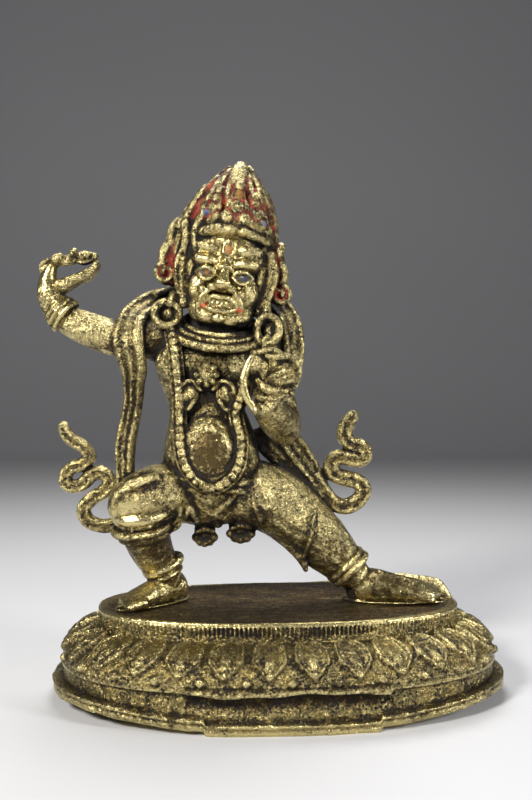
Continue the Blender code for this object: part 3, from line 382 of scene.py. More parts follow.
def foot(s, heel, toe, heights, width):
    """A bare foot on the ground from heel to toe; the soles are trimmed flat afterwards."""
    heel = np.array((*heel, 0.0))
    toe = np.array((*toe, 0.0))
    run = toe - heel
    side = unit(np.cross(run, (0, 0, 1)))
    rows = []
    for share, high, wide in zip((0.0, 0.22, 0.48, 0.72, 0.9), heights, (0.95, 1.0, 1.0, 1.08, 1.05)):
        rows.append((*(heel + run * share + (0, 0, high * 0.75)), width * wide, high))
    limb(s, rows, facing=(0, 0, 1), sides=16, cap=0.8)
    direction = unit(run)
    for k in range(5):
        size = width * (0.36 - 0.03 * k)
        tip = heel + run * (1.0 - 0.025 * k) + side * (k / 4 - 0.5) * 1.7 * width
        limb(s, [(*(tip - direction * size * 3 + (0, 0, heights[-1] * 0.75)), size * 1.05),
                 (*(tip + (0, 0, size * 0.9)), size)], sides=8)
    # The bright seam where the sole is joined to the plate
    half = np.linalg.norm(run) / 2
    ring(s, heel + direction * (half - width * 0.2), (0, 0, 1), (width * 1.12, half + width * 0.75),
         (2.2, 1.7), up=run, sides=8, turns=48)


def garment(s):
    """Belt, tiger-skin folds and the two knotted ends that hang between the thighs."""
    ring(s, (-66, 0, 117), (0.05, 0.16, 1), (50, 43), (3.5, 4.5), up=(0, 1, 0))
    ring(s, (-66, 0, 108), (0.05, 0.16, 1), (51, 41), (3, 3.5), up=(0, 1, 0))
    for x, z, wide in ((-73.5, 72, 13.5), (-38, 75.5, 15.5)):
        ball(s, (x, -8, z), (wide * 0.8, 9, 13))
        for turn in (205, 240, 270, 300, 335):
            a = math.radians(turn)
            ball(s, (x + math.cos(a) * wide * 0.72, -9, z - 4 + math.sin(a) * 9.5),
                 (wide * 0.34, 7, 4.6), sides=8)
        limb(s, [(x - wide * 0.6, -16, z - 2, 2.4), (x, -18, z + 1, 2.6), (x + wide * 0.6, -16, z - 1, 2.4)],
             sides=8)
        ball(s, (x - 1, -17, z + 6), 3.6, sides=8)
    limb(s, [(-66, -31, 106, 5), (-64, -28, 92, 5), (-60, -18, 79, 5)])
    limb(s, [(-44, -32, 110, 5), (-55, -31, 98, 5.5), (-68, -26, 89, 5), (-76, -15, 81, 4)])
    limb(s, [(-86, -32, 110, 5), (-74, -31, 98, 5), (-58, -26, 88, 5), (-44, -15, 83, 4)])
    limb(s, [(-92, -33, 104, 4), (-84, -31, 92, 4), (-78, -22, 82, 3.5)])
    for shift in (0, 8):
        limb(s, [(-114 + shift, -38, 108, 3.4), (-106 + shift, -38, 98, 3.4), (-104 + shift, -34, 88, 3.4),
                 (-106 + shift, -30, 79, 3.4), (-111 + shift * 0.6, -27, 73, 3)], sides=8)
    limb(s, [(-30, -28, 112, 3.4), (-24, -31, 98, 3.4), (-18, -29, 84, 3)], sides=8)
    # The knot and hanging tail of the skin at the back
    ball(s, (-64, 40, 112), (14, 9, 11))
    limb(s, [(-64, 42, 110, 10, 5), (-62, 42, 92, 12, 5), (-60, 36, 74, 10, 4)])


def scarf(s):
    """The scarf frames the shoulders, falls on both sides and ends in two standing scrolls."""
    ribbon(s, [(-124, 20, 300, 24), (-98, 34, 308, 26), (-56, 38, 312, 26), (-17, 34, 306, 26),
               (4, 18, 290, 24)], 12, facing=(0, 1, 0.35), folds=3)
    ribbon(s, [(-104, 30, 302, 24), (-122, 22, 301, 26), (-136, 9, 293, 28), (-146, -6, 280, 30),
               (-149, -17, 263, 31), (-146.5, -18, 247, 30), (-143.6, -12, 230, 26), (-144.3, -6, 214, 21),
               (-145, -4, 199, 19), (-148, -4, 180, 19.5), (-151.8, -6, 161, 20), (-152.5, -10, 140, 18.5),
               (-151, -15, 118, 17)], 13, facing=(-0.3, -1, 0.15), folds=3)
    ribbon(s, [(-16, 30, 304, 24), (-1, 18, 295, 24), (8, 8, 283, 24), (12, 1, 270, 24), (13.5, -3, 256, 24),
               (13.5, -5, 242, 22), (11.5, -4, 229, 21), (7, 3, 214, 20), (4, 12, 198, 20), (4, 17, 180, 22),
               (7, 18, 164, 24), (17, 16, 150, 24), (28, 14, 135, 22), (38, 13, 119, 18), (46, 12, 104, 15)],
           13, facing=(0.35, -1, 0.1), folds=3)
    ribbon(s, [(-16, 14, 170, 26), (-9, 15, 156, 28), (5, 15, 142, 26), (20, 13, 124, 24), (34, 10, 106, 20)],
           9, folds=3)
    ribbon(s, [(36, 12, 122, 15), (44, 12, 110, 15), (54, 12, 96.5, 15.5), (67, 12, 92, 16),
               (80, 12, 97.6, 16), (86, 12, 108.5, 16), (79.5, 12, 117.5, 16), (67, 12, 120.5, 16),
               (55.5, 12, 125.5, 16), (53, 12, 134.5, 16), (59.5, 12, 141.5, 15.5), (71.5, 12, 140.5, 15),
               (82.5, 12, 139, 15), (88, 12, 145.5, 15), (83, 12, 152.5, 15), (72.5, 12, 155.5, 15.5),
               (66.5, 12, 163.5, 16), (68.5, 12, 174, 16), (75.5, 12, 184, 12)], 13, folds=2)
    ribbon(s, [(-138, 4, 92, 14), (-155, 8, 81, 14), (-167, 10, 74, 14), (-181, 10, 73, 14),
               (-194, 10, 79, 14), (-197, 10, 91, 14), (-188, 10, 101, 14), (-176, 10, 108, 14),
               (-171, 10, 119, 14), (-180, 10, 127, 14), (-190, 10, 123, 13.5), (-200, 10, 114, 13.5),
               (-212, 10, 113, 13.5), (-216, 10, 122, 13.5), (-210, 10, 131, 13.5), (-198, 10, 135, 13.5),
               (-191, 10, 143, 13.5), (-197, 10, 152, 13.5), (-208, 10, 159, 13.5), (-215, 10, 166, 12.5),
               (-218, 10, 174, 10)], 12, folds=2)
    # Bridges cast behind the scrolls tie them to the leg and the hip
    limb(s, [(-126, 0, 96, 8), (-142, 8, 92, 7), (-156, 12, 84, 6)])
    limb(s, [(14, 8, 110, 10, 8), (30, 10, 108, 9, 7), (44, 12, 102, 8, 6)])


def jewellery(s):
    """Collar, chest rosette and straps, and the long string of beads round the belly."""
    for centre, radii, thickness in (((-59, 1, 276), 35, (3.6, 4.2)), ((-60, 0, 272), (41, 39.5), (3.2, 3.6)),
                                     ((-60, -1, 267.5), (47, 44), (3.4, 4.2))):
        ring(s, centre, (0.08, -0.42, 0.9), radii, thickness, up=(0, 1, 0))
    rosette(s, (-70, -36, 224), 12.5)
    for side in (-1, 1):
        ball(s, (-70 + side * 18, -29, 204), (10, 6, 13), turn=(0, side * -12, 0))
        limb(s, [(-70 + side * 6, -34, 210, 2.2), (-70 + side * 14, -34, 218, 2.4),
                 (-70 + side * 24, -33, 214, 2.4), (-70 + side * 27, -32, 201, 2.4),
                 (-70 + side * 20, -33, 190, 2.4), (-70 + side * 12, -35, 199, 2.2)], sides=8)
    limb(s, [(-85, -40, 183, 3.2), (-79, -44, 190, 3.6), (-70, -45, 193, 3.6), (-61, -44, 190, 3.6),
             (-55, -40, 183, 3.2)], sides=8)
    string = [(-105.7, -20, 268), (-102, -31, 252), (-99, -34, 228), (-97, -32, 204), (-96, -36, 180),
              (-95, -41, 160), (-91, -43, 140), (-80, -45, 124), (-64, -47, 117), (-50, -45, 123),
              (-40, -42, 136), (-37, -39, 153), (-38, -37, 168), (-42, -35, 186), (-38, -33, 200),
              (-33, -32, 216)]
    beads(s, string, 38, (4.2, 4.0, 3.5), square=0.4)
    ball(s, (-67, -51, 117), (6, 3.4, 4.4), square=0.8)
    path = through(string, 3)
    for across in (-5.8, 5.8):
        edge = []
        for p, t in zip(path, np.gradient(path, axis=0)):
            side = unit(np.array((t[2], 0, -t[0])))
            edge.append((*(p + side * across + (0, 2.4, 0)), 1.7))
        limb(s, edge, sides=8, steps=1)
    limb(s, [(*(p + (0, 4.5, 0)), 6, 4) for p in path], sides=10, steps=1)
    ring(s, (-110, -20, 284.5), (0.15, -1, 0.12), 12, (4, 5))
    ball(s, (-110, -13, 284.5), (9, 6, 9))
    ring(s, (-11, -26, 268), (-0.15, -1, 0.1), (11, 13), (4.2, 5))
    ball(s, (-7, -18, 266), (10, 8, 12))
    limb(s, [(-103, -15, 303, 5.5), (-107, -20, 295, 4.5)])
    limb(s, [(-14, -18, 296, 5.5), (-12, -24, 283, 4.5)])


def head(s):
    """A round wrathful face with three eyes under a five-leaved crown."""
    h = Shells()
    limb(h, [(0, -5, -38, 31, 29), (0, -5, -24, 34, 33), (0, -4, -4, 34, 35), (0, -2, 22, 33.5, 35),
             (0, 0, 42, 32, 33)], sides=24, cap=0.42)
    limb(h, [(0, 2, -58, 24), (0, 0, -30, 26)])
    limb(h, [(0, -34, 16, 6), (0, -40, 2, 5), (0, -44, -7, 6)], sides=10)
    ball(h, (0, -45, -9), (8, 6, 5.6))
    ball(h, (0, -40, -13), (11, 5, 4))
    ball(h, (0, -27, 33), (27, 12, 9))
    ball(h, (0, -28, -29), (18, 12, 14))
    limb(h, [(-8, -38.5, 5, 2.2), (0, -42, 8.5, 2.4), (8, -38.5, 5, 2.2)], sides=8)
    ball(h, (0, -36, -41), (7, 6, 5))
    ball(h, (0, -38, -30), (10, 3.5, 4))
    ball(h, (1, -37, 25), (3.6, 3.6, 5.6))
    ring(h, (1, -37.5, 25), (0, -1, 0.1), (5.4, 8), (1.7, 2.6), turns=20, sides=8)
    for side in (-1, 1):
        ball(h, (side * 20, -27.5, 26.5), (14.5, 10, 7.4), turn=(0, side * -4, side * 22))
        ball(h, (side * 19.5, -30, 13.4), (14, 11, 7), turn=(0, side * -8, side * 20))
        ball(h, (side * 17, -22, 20), (18, 14, 17))
        ball(h, (side * 33, -13, 0), (8, 11, 34))
        ball(h, (side * 18.5, -34, 0), (8.5, 6.8, 5.6))
        limb(h, [(side * 8.5, -39, -1, 2), (side * 12, -41.5, 3.8, 2.2), (side * 20, -40.5, 5, 2.4),
                 (side * 27.5, -34, 1, 2)], sides=8)
        limb(h, [(side * 8.5, -39, -1, 1.8), (side * 13, -41, -4.8, 2), (side * 20, -40, -5.6, 2),
                 (side * 27.5, -34, 1, 1.8)], sides=8)
        ball(h, (side * 9, -41, -12.5), (5.2, 5, 4.4))
        ball(h, (side * 20, -24, -13), (14, 13, 17))
        ball(h, (side * 18, -36.5, -16), (5.2, 4.6, 5))
        ball(h, (side * 18, -20, -32), (14, 16, 15))
        ball(h, (side * 11, -29, -38), (13, 8.5, 9))
        limb(h, [(side * 11, -40, -15, 2.6), (side * 19, -37, -23, 3), (side * 21, -34, -32, 2.8)], sides=8)
        limb(h, [(0, -42.5, -22, 2.8), (side * 7, -42, -21.5, 2.8), (side * 13, -39, -25, 2.4),
                 (side * 17, -35.5, -30, 2)], sides=8)
        limb(h, [(0, -42, -34.5, 2.8), (side * 8, -41, -34, 2.6), (side * 14, -38, -32, 2.2),
                 (side * 17, -35.5, -30, 2)], sides=8)
        for across in (2.2, 6.2):
            ball(h, (side * across, -40, -27.5), (2.1, 2.4, 3), sides=8)
        limb(h, [(side * 10, -40, -26, 2), (side * 10, -40, -31, 1.2)], sides=8)
        # Long ears
        limb(h, [(side * 39, -12, 28, 6.5, 7), (side * 43, -14, 12, 9, 7), (side * 42, -15, -6, 8.5, 7),
                 (side * 39, -16, -19, 7, 6), (side * 37, -17, -29, 5.5, 5)])
        limb(h, [(side * 46, -18, 22, 2.2), (side * 49, -19, 8, 2.4), (side * 47, -20, -8, 2.2),
                 (side * 43, -20, -20, 2)], sides=8)
        ball(h, (side * 37, -6, 4), (9, 11, 32))
    crown(h)
    s.join(h, Matrix.Translation(HEAD_CENTRE) @ Matrix.Rotation(math.radians(HEAD_TILT), 4, "Y"))


def crown(h):
    """A thick diadem over the brow with five jewelled leaves."""
    ring(h, (0, 3, 41), (0, 0.06, 1), (40, 41), (4.6, 5), up=(0, 1, 0), turns=40)
    ring(h, (0, 3, 48), (0, 0.06, 1), (41, 41.5), (2.6, 2.6), up=(0, 1, 0), turns=40)
    limb(h, [(-27, -32, 40, 4.6), (-14, -40, 42, 5.8), (1, -42, 43, 5.6)])
    ball(h, (12, -41, 43), (6, 4.5, 4.6), turn=(0, -20, 0))
    limb(h, [(18, -38, 42, 4), (28, -31, 41, 3.8), (36, -22, 39, 3.4)])
    for azimuth, tall, lean in ((4, 1.0, -13), (-33, 0.86, -15), (34, 0.86, -15), (-72, 0.74, -16),
                                (72, 0.74, -16)):
        leaf = Shells()
        limb(leaf, [(0, 0, 2, 12, 5), (0, 0, 12, 13.5, 5.5), (0, 0.5, 24, 10.5, 5.5), (0, 1, 36, 7, 5),
                    (0, 2, 45, 3.5, 4)])
        for side in (-1, 1):
            ball(leaf, (side * 8, -2, 11), (6.5, 4.4, 7), turn=(0, side * 25, 0))
            ball(leaf, (side * 8, -1.5, 24), (3.4, 3.6, 6), turn=(0, side * -12, 0))
        ring(leaf, (0, -4.5, 21), (0, -1, 0), (4.6, 5.2), (1.8, 2), turns=16, sides=8)
        ball(leaf, (0, -4.5, 21), (3.4, 3, 3.8))
        ball(leaf, (0, -3.5, 34), (4.6, 3.6, 5.4))
        ball(leaf, (0, -2.5, 44), (4.6, 4, 4.6))
        a = math.radians(azimuth)
        place = (math.sin(a) * 40.5, 3 - math.cos(a) * 41.5, 45)
        h.join(leaf, Matrix.Translation(place) @ Matrix.Rotation(a, 4, "Z")
               @ Matrix.Rotation(math.radians(lean), 4, "X") @ Matrix.Scale(tall, 4))


# Height, centre x and radius of the dome of hair
HAIR_DOME = np.array(((300, -55, 40), (325, -55, 46), (350, -54, 48), (366, -53, 46), (381, -51, 43),
                      (395, -48, 37), (408, -47, 29), (420, -44, 17), (430, -40, 9), (435, -39, 4)), float)
HAIR_DEPTH = 0.84


def on_hair(azimuth, height, lift=0.0):
    """A point on the dome of hair; azimuth 0 is over the face."""
    middle, radius = (np.interp(height, HAIR_DOME[:, 0], HAIR_DOME[:, k]) for k in (1, 2))
    a = math.radians(azimuth)
    return (middle + math.sin(a) * (radius + lift), 6 - math.cos(a) * (radius + lift) * HAIR_DEPTH, height)


def hair(s):
    """Upswept flaming locks in tiers, a tall front flame, and curls beside the ears."""
    nape = 345
    limb(s, [(x, 12 if z < nape else 6, z, r, r * HAIR_DEPTH * (0.86 if z < nape else 1))
             for z, x, r in HAIR_DOME], sides=24, cap=0.5)
    tiers = ((19, 312, 345, 384, 5.4, 0), (17, 345, 378, 408, 5.2, 10), (12, 372, 400, 424, 4.8, 0),
             (7, 398, 416, 429, 4.2, 20))
    for locks, low, middle, high, size, start in tiers:
        for k in range(locks):
            azimuth = start + 360 * k / locks
            if low < 340 and math.cos(math.radians(azimuth)) > 0.35:
                continue
            sway = 3.0 if k % 2 else -3.0
            height = high + (3 if k % 2 else -3)
            limb(s, [(*on_hair(azimuth, low, -1), size * 0.9, size),
                     (*on_hair(azimuth - sway, (low + middle) / 2, 1.5), size, size),
                     (*on_hair(azimuth + sway, middle, 2.5), size, size),
                     (*on_hair(azimuth + sway, height, 3.5), size * 0.8, size * 0.8)], sides=8, steps=3)
    limb(s, [(-44, -24, 392, 9, 6), (-42, -17, 408, 10.5, 7), (-40, -10, 422, 9.5, 7), (-38, -5, 431, 7, 6)])
    for centre, radius, start, way in (((-112, -9, 326), 11, 100, 1), ((1, -10, 304), 10, 70, -1)):
        ball(s, (centre[0], -1, centre[2]), (radius, 8, radius + 1))
        coil = []
        for k in range(10):
            a = math.radians(start + way * k * 50)
            r = radius * (1 - 0.085 * k)
            coil.append((centre[0] + math.cos(a) * r, centre[1] - 0.3 * k, centre[2] + math.sin(a) * r,
                         3.4 - 0.12 * k))
        limb(s, coil, sides=8)
    for curl in ([(-104, -2, 358, 6), (-112, -6, 350, 6.2), (-115, -7, 341, 5.4), (-116, -8, 334, 4.4)],
                 [(-100, -2, 340, 6), (-106, -4, 352, 6.5), (-107, -4, 363, 6), (-105, -3, 373, 4.6),
                  (-101, -2, 379, 3)],
                 [(-8, -2, 328, 6), (-5, -5, 339, 6), (0, -6, 347, 5.6), (2, -6, 351, 5)],
                 [(-2, -2, 340, 5), (3, -6, 331, 5.4), (5, -8, 322, 5), (3, -9, 315, 4)]):
        limb(s, curl, sides=10)
    ball(s, (-104, 2, 338), (13, 13, 26))
    ball(s, (-4, 2, 328), (12, 13, 26))


def figure_shells():
    """Every shell of the figure, in metres, turned and set on the plate."""
    s = Shells()
    for form in (torso, raised_arm, lowered_arm, bent_leg, straight_leg, garment, scarf, jewellery, head,
                 hair):
        form(s)
    points = np.vstack(s.points)
    # The soles are trimmed flat where they meet the plate
    points[:, 2] = np.maximum(points[:, 2], 0)
    turn = np.array(Matrix.Rotation(math.radians(STANCE_TURN), 3, "Z"))
    seat = np.array((OBJECT_CENTRE.x, OBJECT_CENTRE.y, BASE_HEIGHT + SEAT_GAP))
    return points @ turn.T * MODULE + seat, s.faces


# From shells to one casting

def mesh_object(name, points, faces):
    """A new object in the scene from points and faces."""
    mesh = bpy.data.meshes.new(name)
    mesh.from_pydata([tuple(p) for p in points], [], faces)
    mesh.update()
    made = bpy.data.objects.new(name, mesh)
    bpy.context.scene.collection.objects.link(made)
    return made


def outer_skin(mesh):
    """Keeps the largest closed surface, so that no void is left sealed between the shells."""
    bm = bmesh.new()
    bm.from_mesh(mesh)
    unseen = set(bm.verts)
    islands = []
    while unseen:
        stack = [unseen.pop()]
        island = list(stack)
        while stack:
            for edge in stack.pop().link_edges:
                for vert in edge.verts:
                    if vert in unseen:
                        unseen.remove(vert)
                        stack.append(vert)
                        island.append(vert)
        islands.append(island)
    islands.sort(key=len)
    bmesh.ops.delete(bm, geom=[v for island in islands[:-1] for v in island], context="VERTS")
    write_triangles(bm, mesh)


def write_triangles(bm, mesh):
    """Writes bm to mesh as triangles that face outward."""
    bmesh.ops.triangulate(bm, faces=bm.faces)
    bmesh.ops.recalc_face_normals(bm, faces=bm.faces)
    bm.to_mesh(mesh)
    bm.free()


def reshape(obj, modifier, **settings):
    """Runs one modifier and keeps its result as the object's mesh."""
    added = obj.modifiers.new(modifier.title(), modifier)
    for name, value in settings.items():
        setattr(added, name, value)
    bpy.context.view_layer.update()
    evaluated = obj.evaluated_get(bpy.context.evaluated_depsgraph_get())
    reshaped = bpy.data.meshes.new_from_object(evaluated)
    obj.modifiers.clear()
    obj.data = reshaped


def cast(obj, grain):
    """Melts the overlapping shells into one surface; grain is the smallest form that survives."""
    reshape(obj, "REMESH", mode="VOXEL", voxel_size=grain)
    outer_skin(obj.data)


def thin_out(obj, triangles):
    """Collapses the finest facets until about this many triangles are left."""
    share = min(1.0, triangles / len(obj.data.polygons))
    reshape(obj, "DECIMATE", decimate_type="COLLAPSE", ratio=share)


# The lotus base: rows of points from the middle of the plate, down the outside and up the inside

def oval(angle, half_length, half_depth):
    """A point of the base's outline, fuller than an ellipse."""
    c, s = math.cos(angle), math.sin(angle)
    return (half_length * math.copysign(abs(c) ** (2 / OVAL_POWER), c),
            half_depth * math.copysign(abs(s) ** (2 / OVAL_POWER), s))


def even_angles(count):
    """Angles that space points evenly along the oval through the middle of the petals."""
    fine = np.linspace(0, 2 * math.pi, 2881)
    outline = np.array([oval(a, HALF_LENGTH + PETAL_SPREAD_AT_ENDS / 2,
                             HALF_DEPTH + PETAL_SPREAD_AT_FRONT / 2) for a in fine])
    run = np.concatenate([[0], np.cumsum(np.linalg.norm(np.diff(outline, axis=0), axis=1))])
    return np.interp(np.arange(count) * run[-1] / count, run, fine)


def smooth(low, high, value):
    """0 at low, 1 at high and smooth between; low may be the larger."""
    t = min(max((value - low) / (high - low), 0), 1)
    return t * t * (3 - 2 * t)


def ridge_at(place, width, value):
    """A round ridge of height 1 where value is at place."""
    return math.exp(-((value - place) / width) ** 2)


def pyramid(t, v, centre_t, centre_v, half_t, half_v):
    """A four-sided point of height 1 on a petal."""
    return max(0.0, 1 - abs(t - centre_t) / half_t - abs(v - centre_v) / half_v)


def petal_relief(t, v):
    """Height of the carving, 0 to 1; t is -1 to 1 across a petal, and v 0 to 1 from its top to its tip."""
    half = 0.86 - 0.50 * smooth(0.48, 0.76, v)
    if v < 0.34:
        half = 0.86 * math.sqrt(max(0.0, 1 - ((0.34 - v) / 0.33) ** 2))
    inside = half - abs(t)
    closed = 1 - smooth(0.72, 0.78, v)
    body = 0.34 * smooth(-0.02, 0.10, inside) * closed
    borders = (0.66 * ridge_at(0.11, 0.075, inside) + 0.34 * ridge_at(0.33, 0.055, inside)) * closed
    almond = max(0.0, 1 - (t / 0.27) ** 2 - ((v - 0.52) / 0.20) ** 2)
    tongue = 0.62 * math.sqrt(almond) * (0.55 + 0.45 * smooth(0.40, 0.62, v))
    drop = min(0.95, 1.9 * pyramid(t, v, 0, 0.76, 0.34, 0.11))
    between = min(1.0, 2.0 * (pyramid(t, v, 1, 0.88, 0.36, 0.11) + pyramid(t, v, -1, 0.88, 0.36, 0.11)))
    scallops = 0.30 * ridge_at(0.955, 0.02, v) * (0.6 + 0.4 * math.cos(t * 3 * math.pi))
    fade = smooth(0.0, 0.04, v)
    return max(body + max(borders, tongue), drop, between, scallops) * fade


RIBS_PER_PETAL = 8
RIB_DEPTH = 0.00040
RIB_TOP = BASE_HEIGHT - 0.0007
RIB_FOOT = BASE_HEIGHT - 0.0039
RIM_BEAD = 0.00022
# Places along the base, from its middle: the ends of the front lip, the old breaks and the cracks
LIP_LEFT, LIP_RIGHT = -0.0265, 0.0250
LIP_FADE = 0.0010
BREAK_LEFT, BREAK_RIGHT = -0.0214, 0.0222
EDGE_MOULDING = 0.00022
EDGE_CRACKS = (-0.0296, -0.0262, 0.0490)
EDGE_CRACK_DEPTH = 0.0006
BAND_CRACK = ((0.0262, 0.0112), (0.0256, 0.0080), (0.0218, 0.0046))
BAND_CRACK_DEPTH = 0.0007


def between_rows(a, b, steps, kind=None):
    """Rows evenly from row a to row b, without b."""
    return [(*(p + (q - p) * k / steps for p, q in zip(a[:3], b[:3])), kind) for k in range(steps)]


def base_rows():
    """Rows of (reach past the plate at the ends, reach at the front, height, kind or place on the petal)."""
    foot, top = PETAL_FOOT_HEIGHT, BASE_HEIGHT - RIM_HEIGHT
    ends, front = PETAL_SPREAD_AT_ENDS, PETAL_SPREAD_AT_FRONT
    rows = [(-RIM_ROUNDING * 3, -RIM_ROUNDING * 3, BASE_HEIGHT - RIM_BEAD / 2, "rim"),
            (-RIM_ROUNDING * 2, -RIM_ROUNDING * 2, BASE_HEIGHT, "rim"),
            (-RIM_ROUNDING, -RIM_ROUNDING, BASE_HEIGHT, "rim"),
            (-RIM_ROUNDING * 0.3, -RIM_ROUNDING * 0.3, BASE_HEIGHT - RIM_ROUNDING * 0.3, "rim")]
    rows += between_rows((0, 0, BASE_HEIGHT - RIM_ROUNDING), (-0.0003, -0.0003, RIB_FOOT), 9, "ribs")
    rows += between_rows((-0.0003, -0.0003, RIB_FOOT), (0, 0, top), 4, "wall")
    for v in np.linspace(0.02, 1, PETAL_ROWS):
        turn = v * math.pi / 2
        rows.append((math.sin(turn) * ends, math.sin(turn) * front, foot + (top - foot) * math.cos(turn), v))

    def outward(extra, height):
        return (ends + extra, front + extra, height)

    under_lip = foot - LIP_THICKNESS
    lip_top = outward(LIP_WIDTH, foot - LIP_THICKNESS / 4)
    lip_foot = outward(LIP_WIDTH, under_lip)
    band_top = outward(-BAND_INSET, under_lip - LIP_THICKNESS / 3)
    band_foot = (ends, front - BAND_INSET * 0.8, FLANGE_THICKNESS + 0.0006)
    rows += between_rows(lip_top, lip_foot, 3, "lip")
    rows += between_rows(lip_foot, band_top, 3, "lip")
    rows += between_rows(band_top, band_foot, 14, "band")
    edge = (ends + FLANGE_WIDTH_AT_ENDS, front + FLANGE_WIDTH_AT_FRONT)
    rows += between_rows(band_foot, (*edge, FLANGE_THICKNESS), 4, "flange")
    rows += between_rows((*edge, FLANGE_THICKNESS), (*edge, 0), 7, "edge")
    inner = -BASE_WALL - BAND_INSET
    rows += between_rows((*edge, 0), outward(inner, 0), 3, "flange")
    rows.append((*outward(inner, 0), "flange"))
    rows += between_rows(outward(inner, 0.0004), outward(inner, foot), 5, "inside")
    rows.append((*outward(inner, foot), "inside"))
    rows.append((ends * 0.62 - BASE_WALL, front * 0.62 - BASE_WALL, (foot + top) / 2, "inside"))
    rows.append((-BASE_WALL, -BASE_WALL, top - BASE_WALL / 2, "inside"))
    rows.append((-BASE_WALL * 1.5, -BASE_WALL * 1.5, BASE_HEIGHT - BASE_WALL, "inside"))
    return rows


def front_share(x, y):
    """1 where the thin bright lip stands out, along the middle of the front."""
    if y > 0:
        return 0.0
    begun = smooth(LIP_LEFT - LIP_FADE, LIP_LEFT + LIP_FADE, x)
    ended = smooth(LIP_RIGHT - LIP_FADE, LIP_RIGHT + LIP_FADE, x)
    return begun * (1 - ended)


def crack(x, y, height):
    """Depth, 0 to 1, of the cracks in the front of the band and the flange."""
    if y > 0:
        return 0.0
    deepest = 0.0
    if height < FLANGE_THICKNESS + FLANGE_STEP + 0.002:
        deepest = max(math.exp(-((x - place) / 0.00022) ** 2) for place in EDGE_CRACKS)
    for (xa, za), (xb, zb) in zip(BAND_CRACK, BAND_CRACK[1:]):
        if zb <= height <= za:
            wander = 0.0004 * math.sin(height * 4000)
            line = xa + (xb - xa) * (za - height) / (za - zb) + wander
            deepest = max(deepest, math.exp(-((x - line) / 0.0003) ** 2))
    return deepest


def flange_lift(x):
    """The foot is bent: it rests on its middle, steps up at two old breaks and rises to both ends."""
    end = HALF_LENGTH + PETAL_SPREAD_AT_ENDS
    outside = max(smooth(BREAK_LEFT + 0.0003, BREAK_LEFT - 0.0005, x),
                  smooth(BREAK_RIGHT - 0.0003, BREAK_RIGHT + 0.0005, x))
    return outside * (FLANGE_STEP + (FLANGE_END_LIFT - FLANGE_STEP) * smooth(0.35, 1.0, abs(x) / end))


def rim_rise(x, y):
    """One end of the plate is turned up behind the forward foot."""
    turn = math.degrees(math.atan2(y / HALF_DEPTH, x / HALF_LENGTH))
    return END_RIM_RISE * smooth(0, 22, turn) * (1 - smooth(38, 80, turn))


def base_point(angle, petal_place, row):
    """One point of the base: its row's profile with the carving of its kind."""
    ends, front, height, kind = row
    x, y = oval(angle, HALF_LENGTH + ends, HALF_DEPTH + front)
    point = np.array((x, y, height))
    out = unit(np.array((x / HALF_LENGTH, y / HALF_DEPTH, 0)))
    if kind in ("flange", "edge"):
        point[2] += flange_lift(x)
        if kind == "edge":
            t = height / FLANGE_THICKNESS
            moulding = ridge_at(0.90, 0.14, t) - ridge_at(0.62, 0.12, t) - 2.0 * smooth(0.3, 0, t)
            point += out * EDGE_MOULDING * moulding
            point -= out * EDGE_CRACK_DEPTH * crack(x, y, height)
    elif kind == "lip":
        lip = front_share(x, y)
        point += out * (0.0007 * lip - 0.0004 * (1 - lip))
        point[2] += (0.0004 * math.sin(x * 160 + 0.6) + 0.0002 * math.sin(x * 470) - 0.0002) * lip
    elif kind == "band":
        point[2] += flange_lift(x) * 0.9 * smooth(PETAL_FOOT_HEIGHT, FLANGE_THICKNESS, height)
        point -= out * 0.0007 * front_share(x, y) * smooth(0.0042, 0.0075, height)
        point -= out * BAND_CRACK_DEPTH * crack(x, y, height)
    elif kind == "rim":
        point[2] += rim_rise(x, y)
    elif kind == "ribs":
        point[2] += rim_rise(x, y) * smooth(RIB_FOOT, BASE_HEIGHT, height)
        cut = smooth(RIB_TOP, RIB_TOP - 0.0006, height) * smooth(RIB_FOOT, RIB_FOOT + 0.0008, height)
        point -= out * RIB_DEPTH * cut * abs(math.cos(math.pi * RIBS_PER_PETAL * petal_place)) ** 1.5
    elif isinstance(kind, float):
        turn = kind * math.pi / 2
        lift = unit(out * math.sin(turn) + np.array((0, 0, 1)) * math.cos(turn) * 1.3)
        point += lift * PETAL_RELIEF * petal_relief(2 * petal_place - 1, kind)
    return point


def lotus_base():
    """The hollow base as one closed mesh, ring by ring."""
    columns = PETAL_COUNT * COLUMNS_PER_PETAL
    angles = even_angles(columns)
    plate = [oval(a, HALF_LENGTH, HALF_DEPTH) for a in angles]
    loops = [[(x * share, y * share, BASE_HEIGHT - RIM_BEAD) for x, y in plate]
             for share in (0.12, 0.24, 0.36, 0.47, 0.58, 0.68, 0.77, 0.84, 0.89, 0.92)]
    for row in base_rows():
        row = (*row[:3], float(row[3])) if isinstance(row[3], np.floating) else row
        loops.append([base_point(angles[i], i % COLUMNS_PER_PETAL / COLUMNS_PER_PETAL, row)
                      for i in range(columns)])
    points = [(0, 0, BASE_HEIGHT - RIM_BEAD)] + [p for loop in loops for p in loop]
    points.append((0, 0, BASE_HEIGHT - BASE_WALL))
    made = mesh_object("gilt_lotus_base", np.array(points) + OBJECT_CENTRE, sweep_faces(len(loops), columns))
    bm = bmesh.new()
    bm.from_mesh(made.data)
    write_triangles(bm, made.data)
    return made


# The finished surfaces as arrays

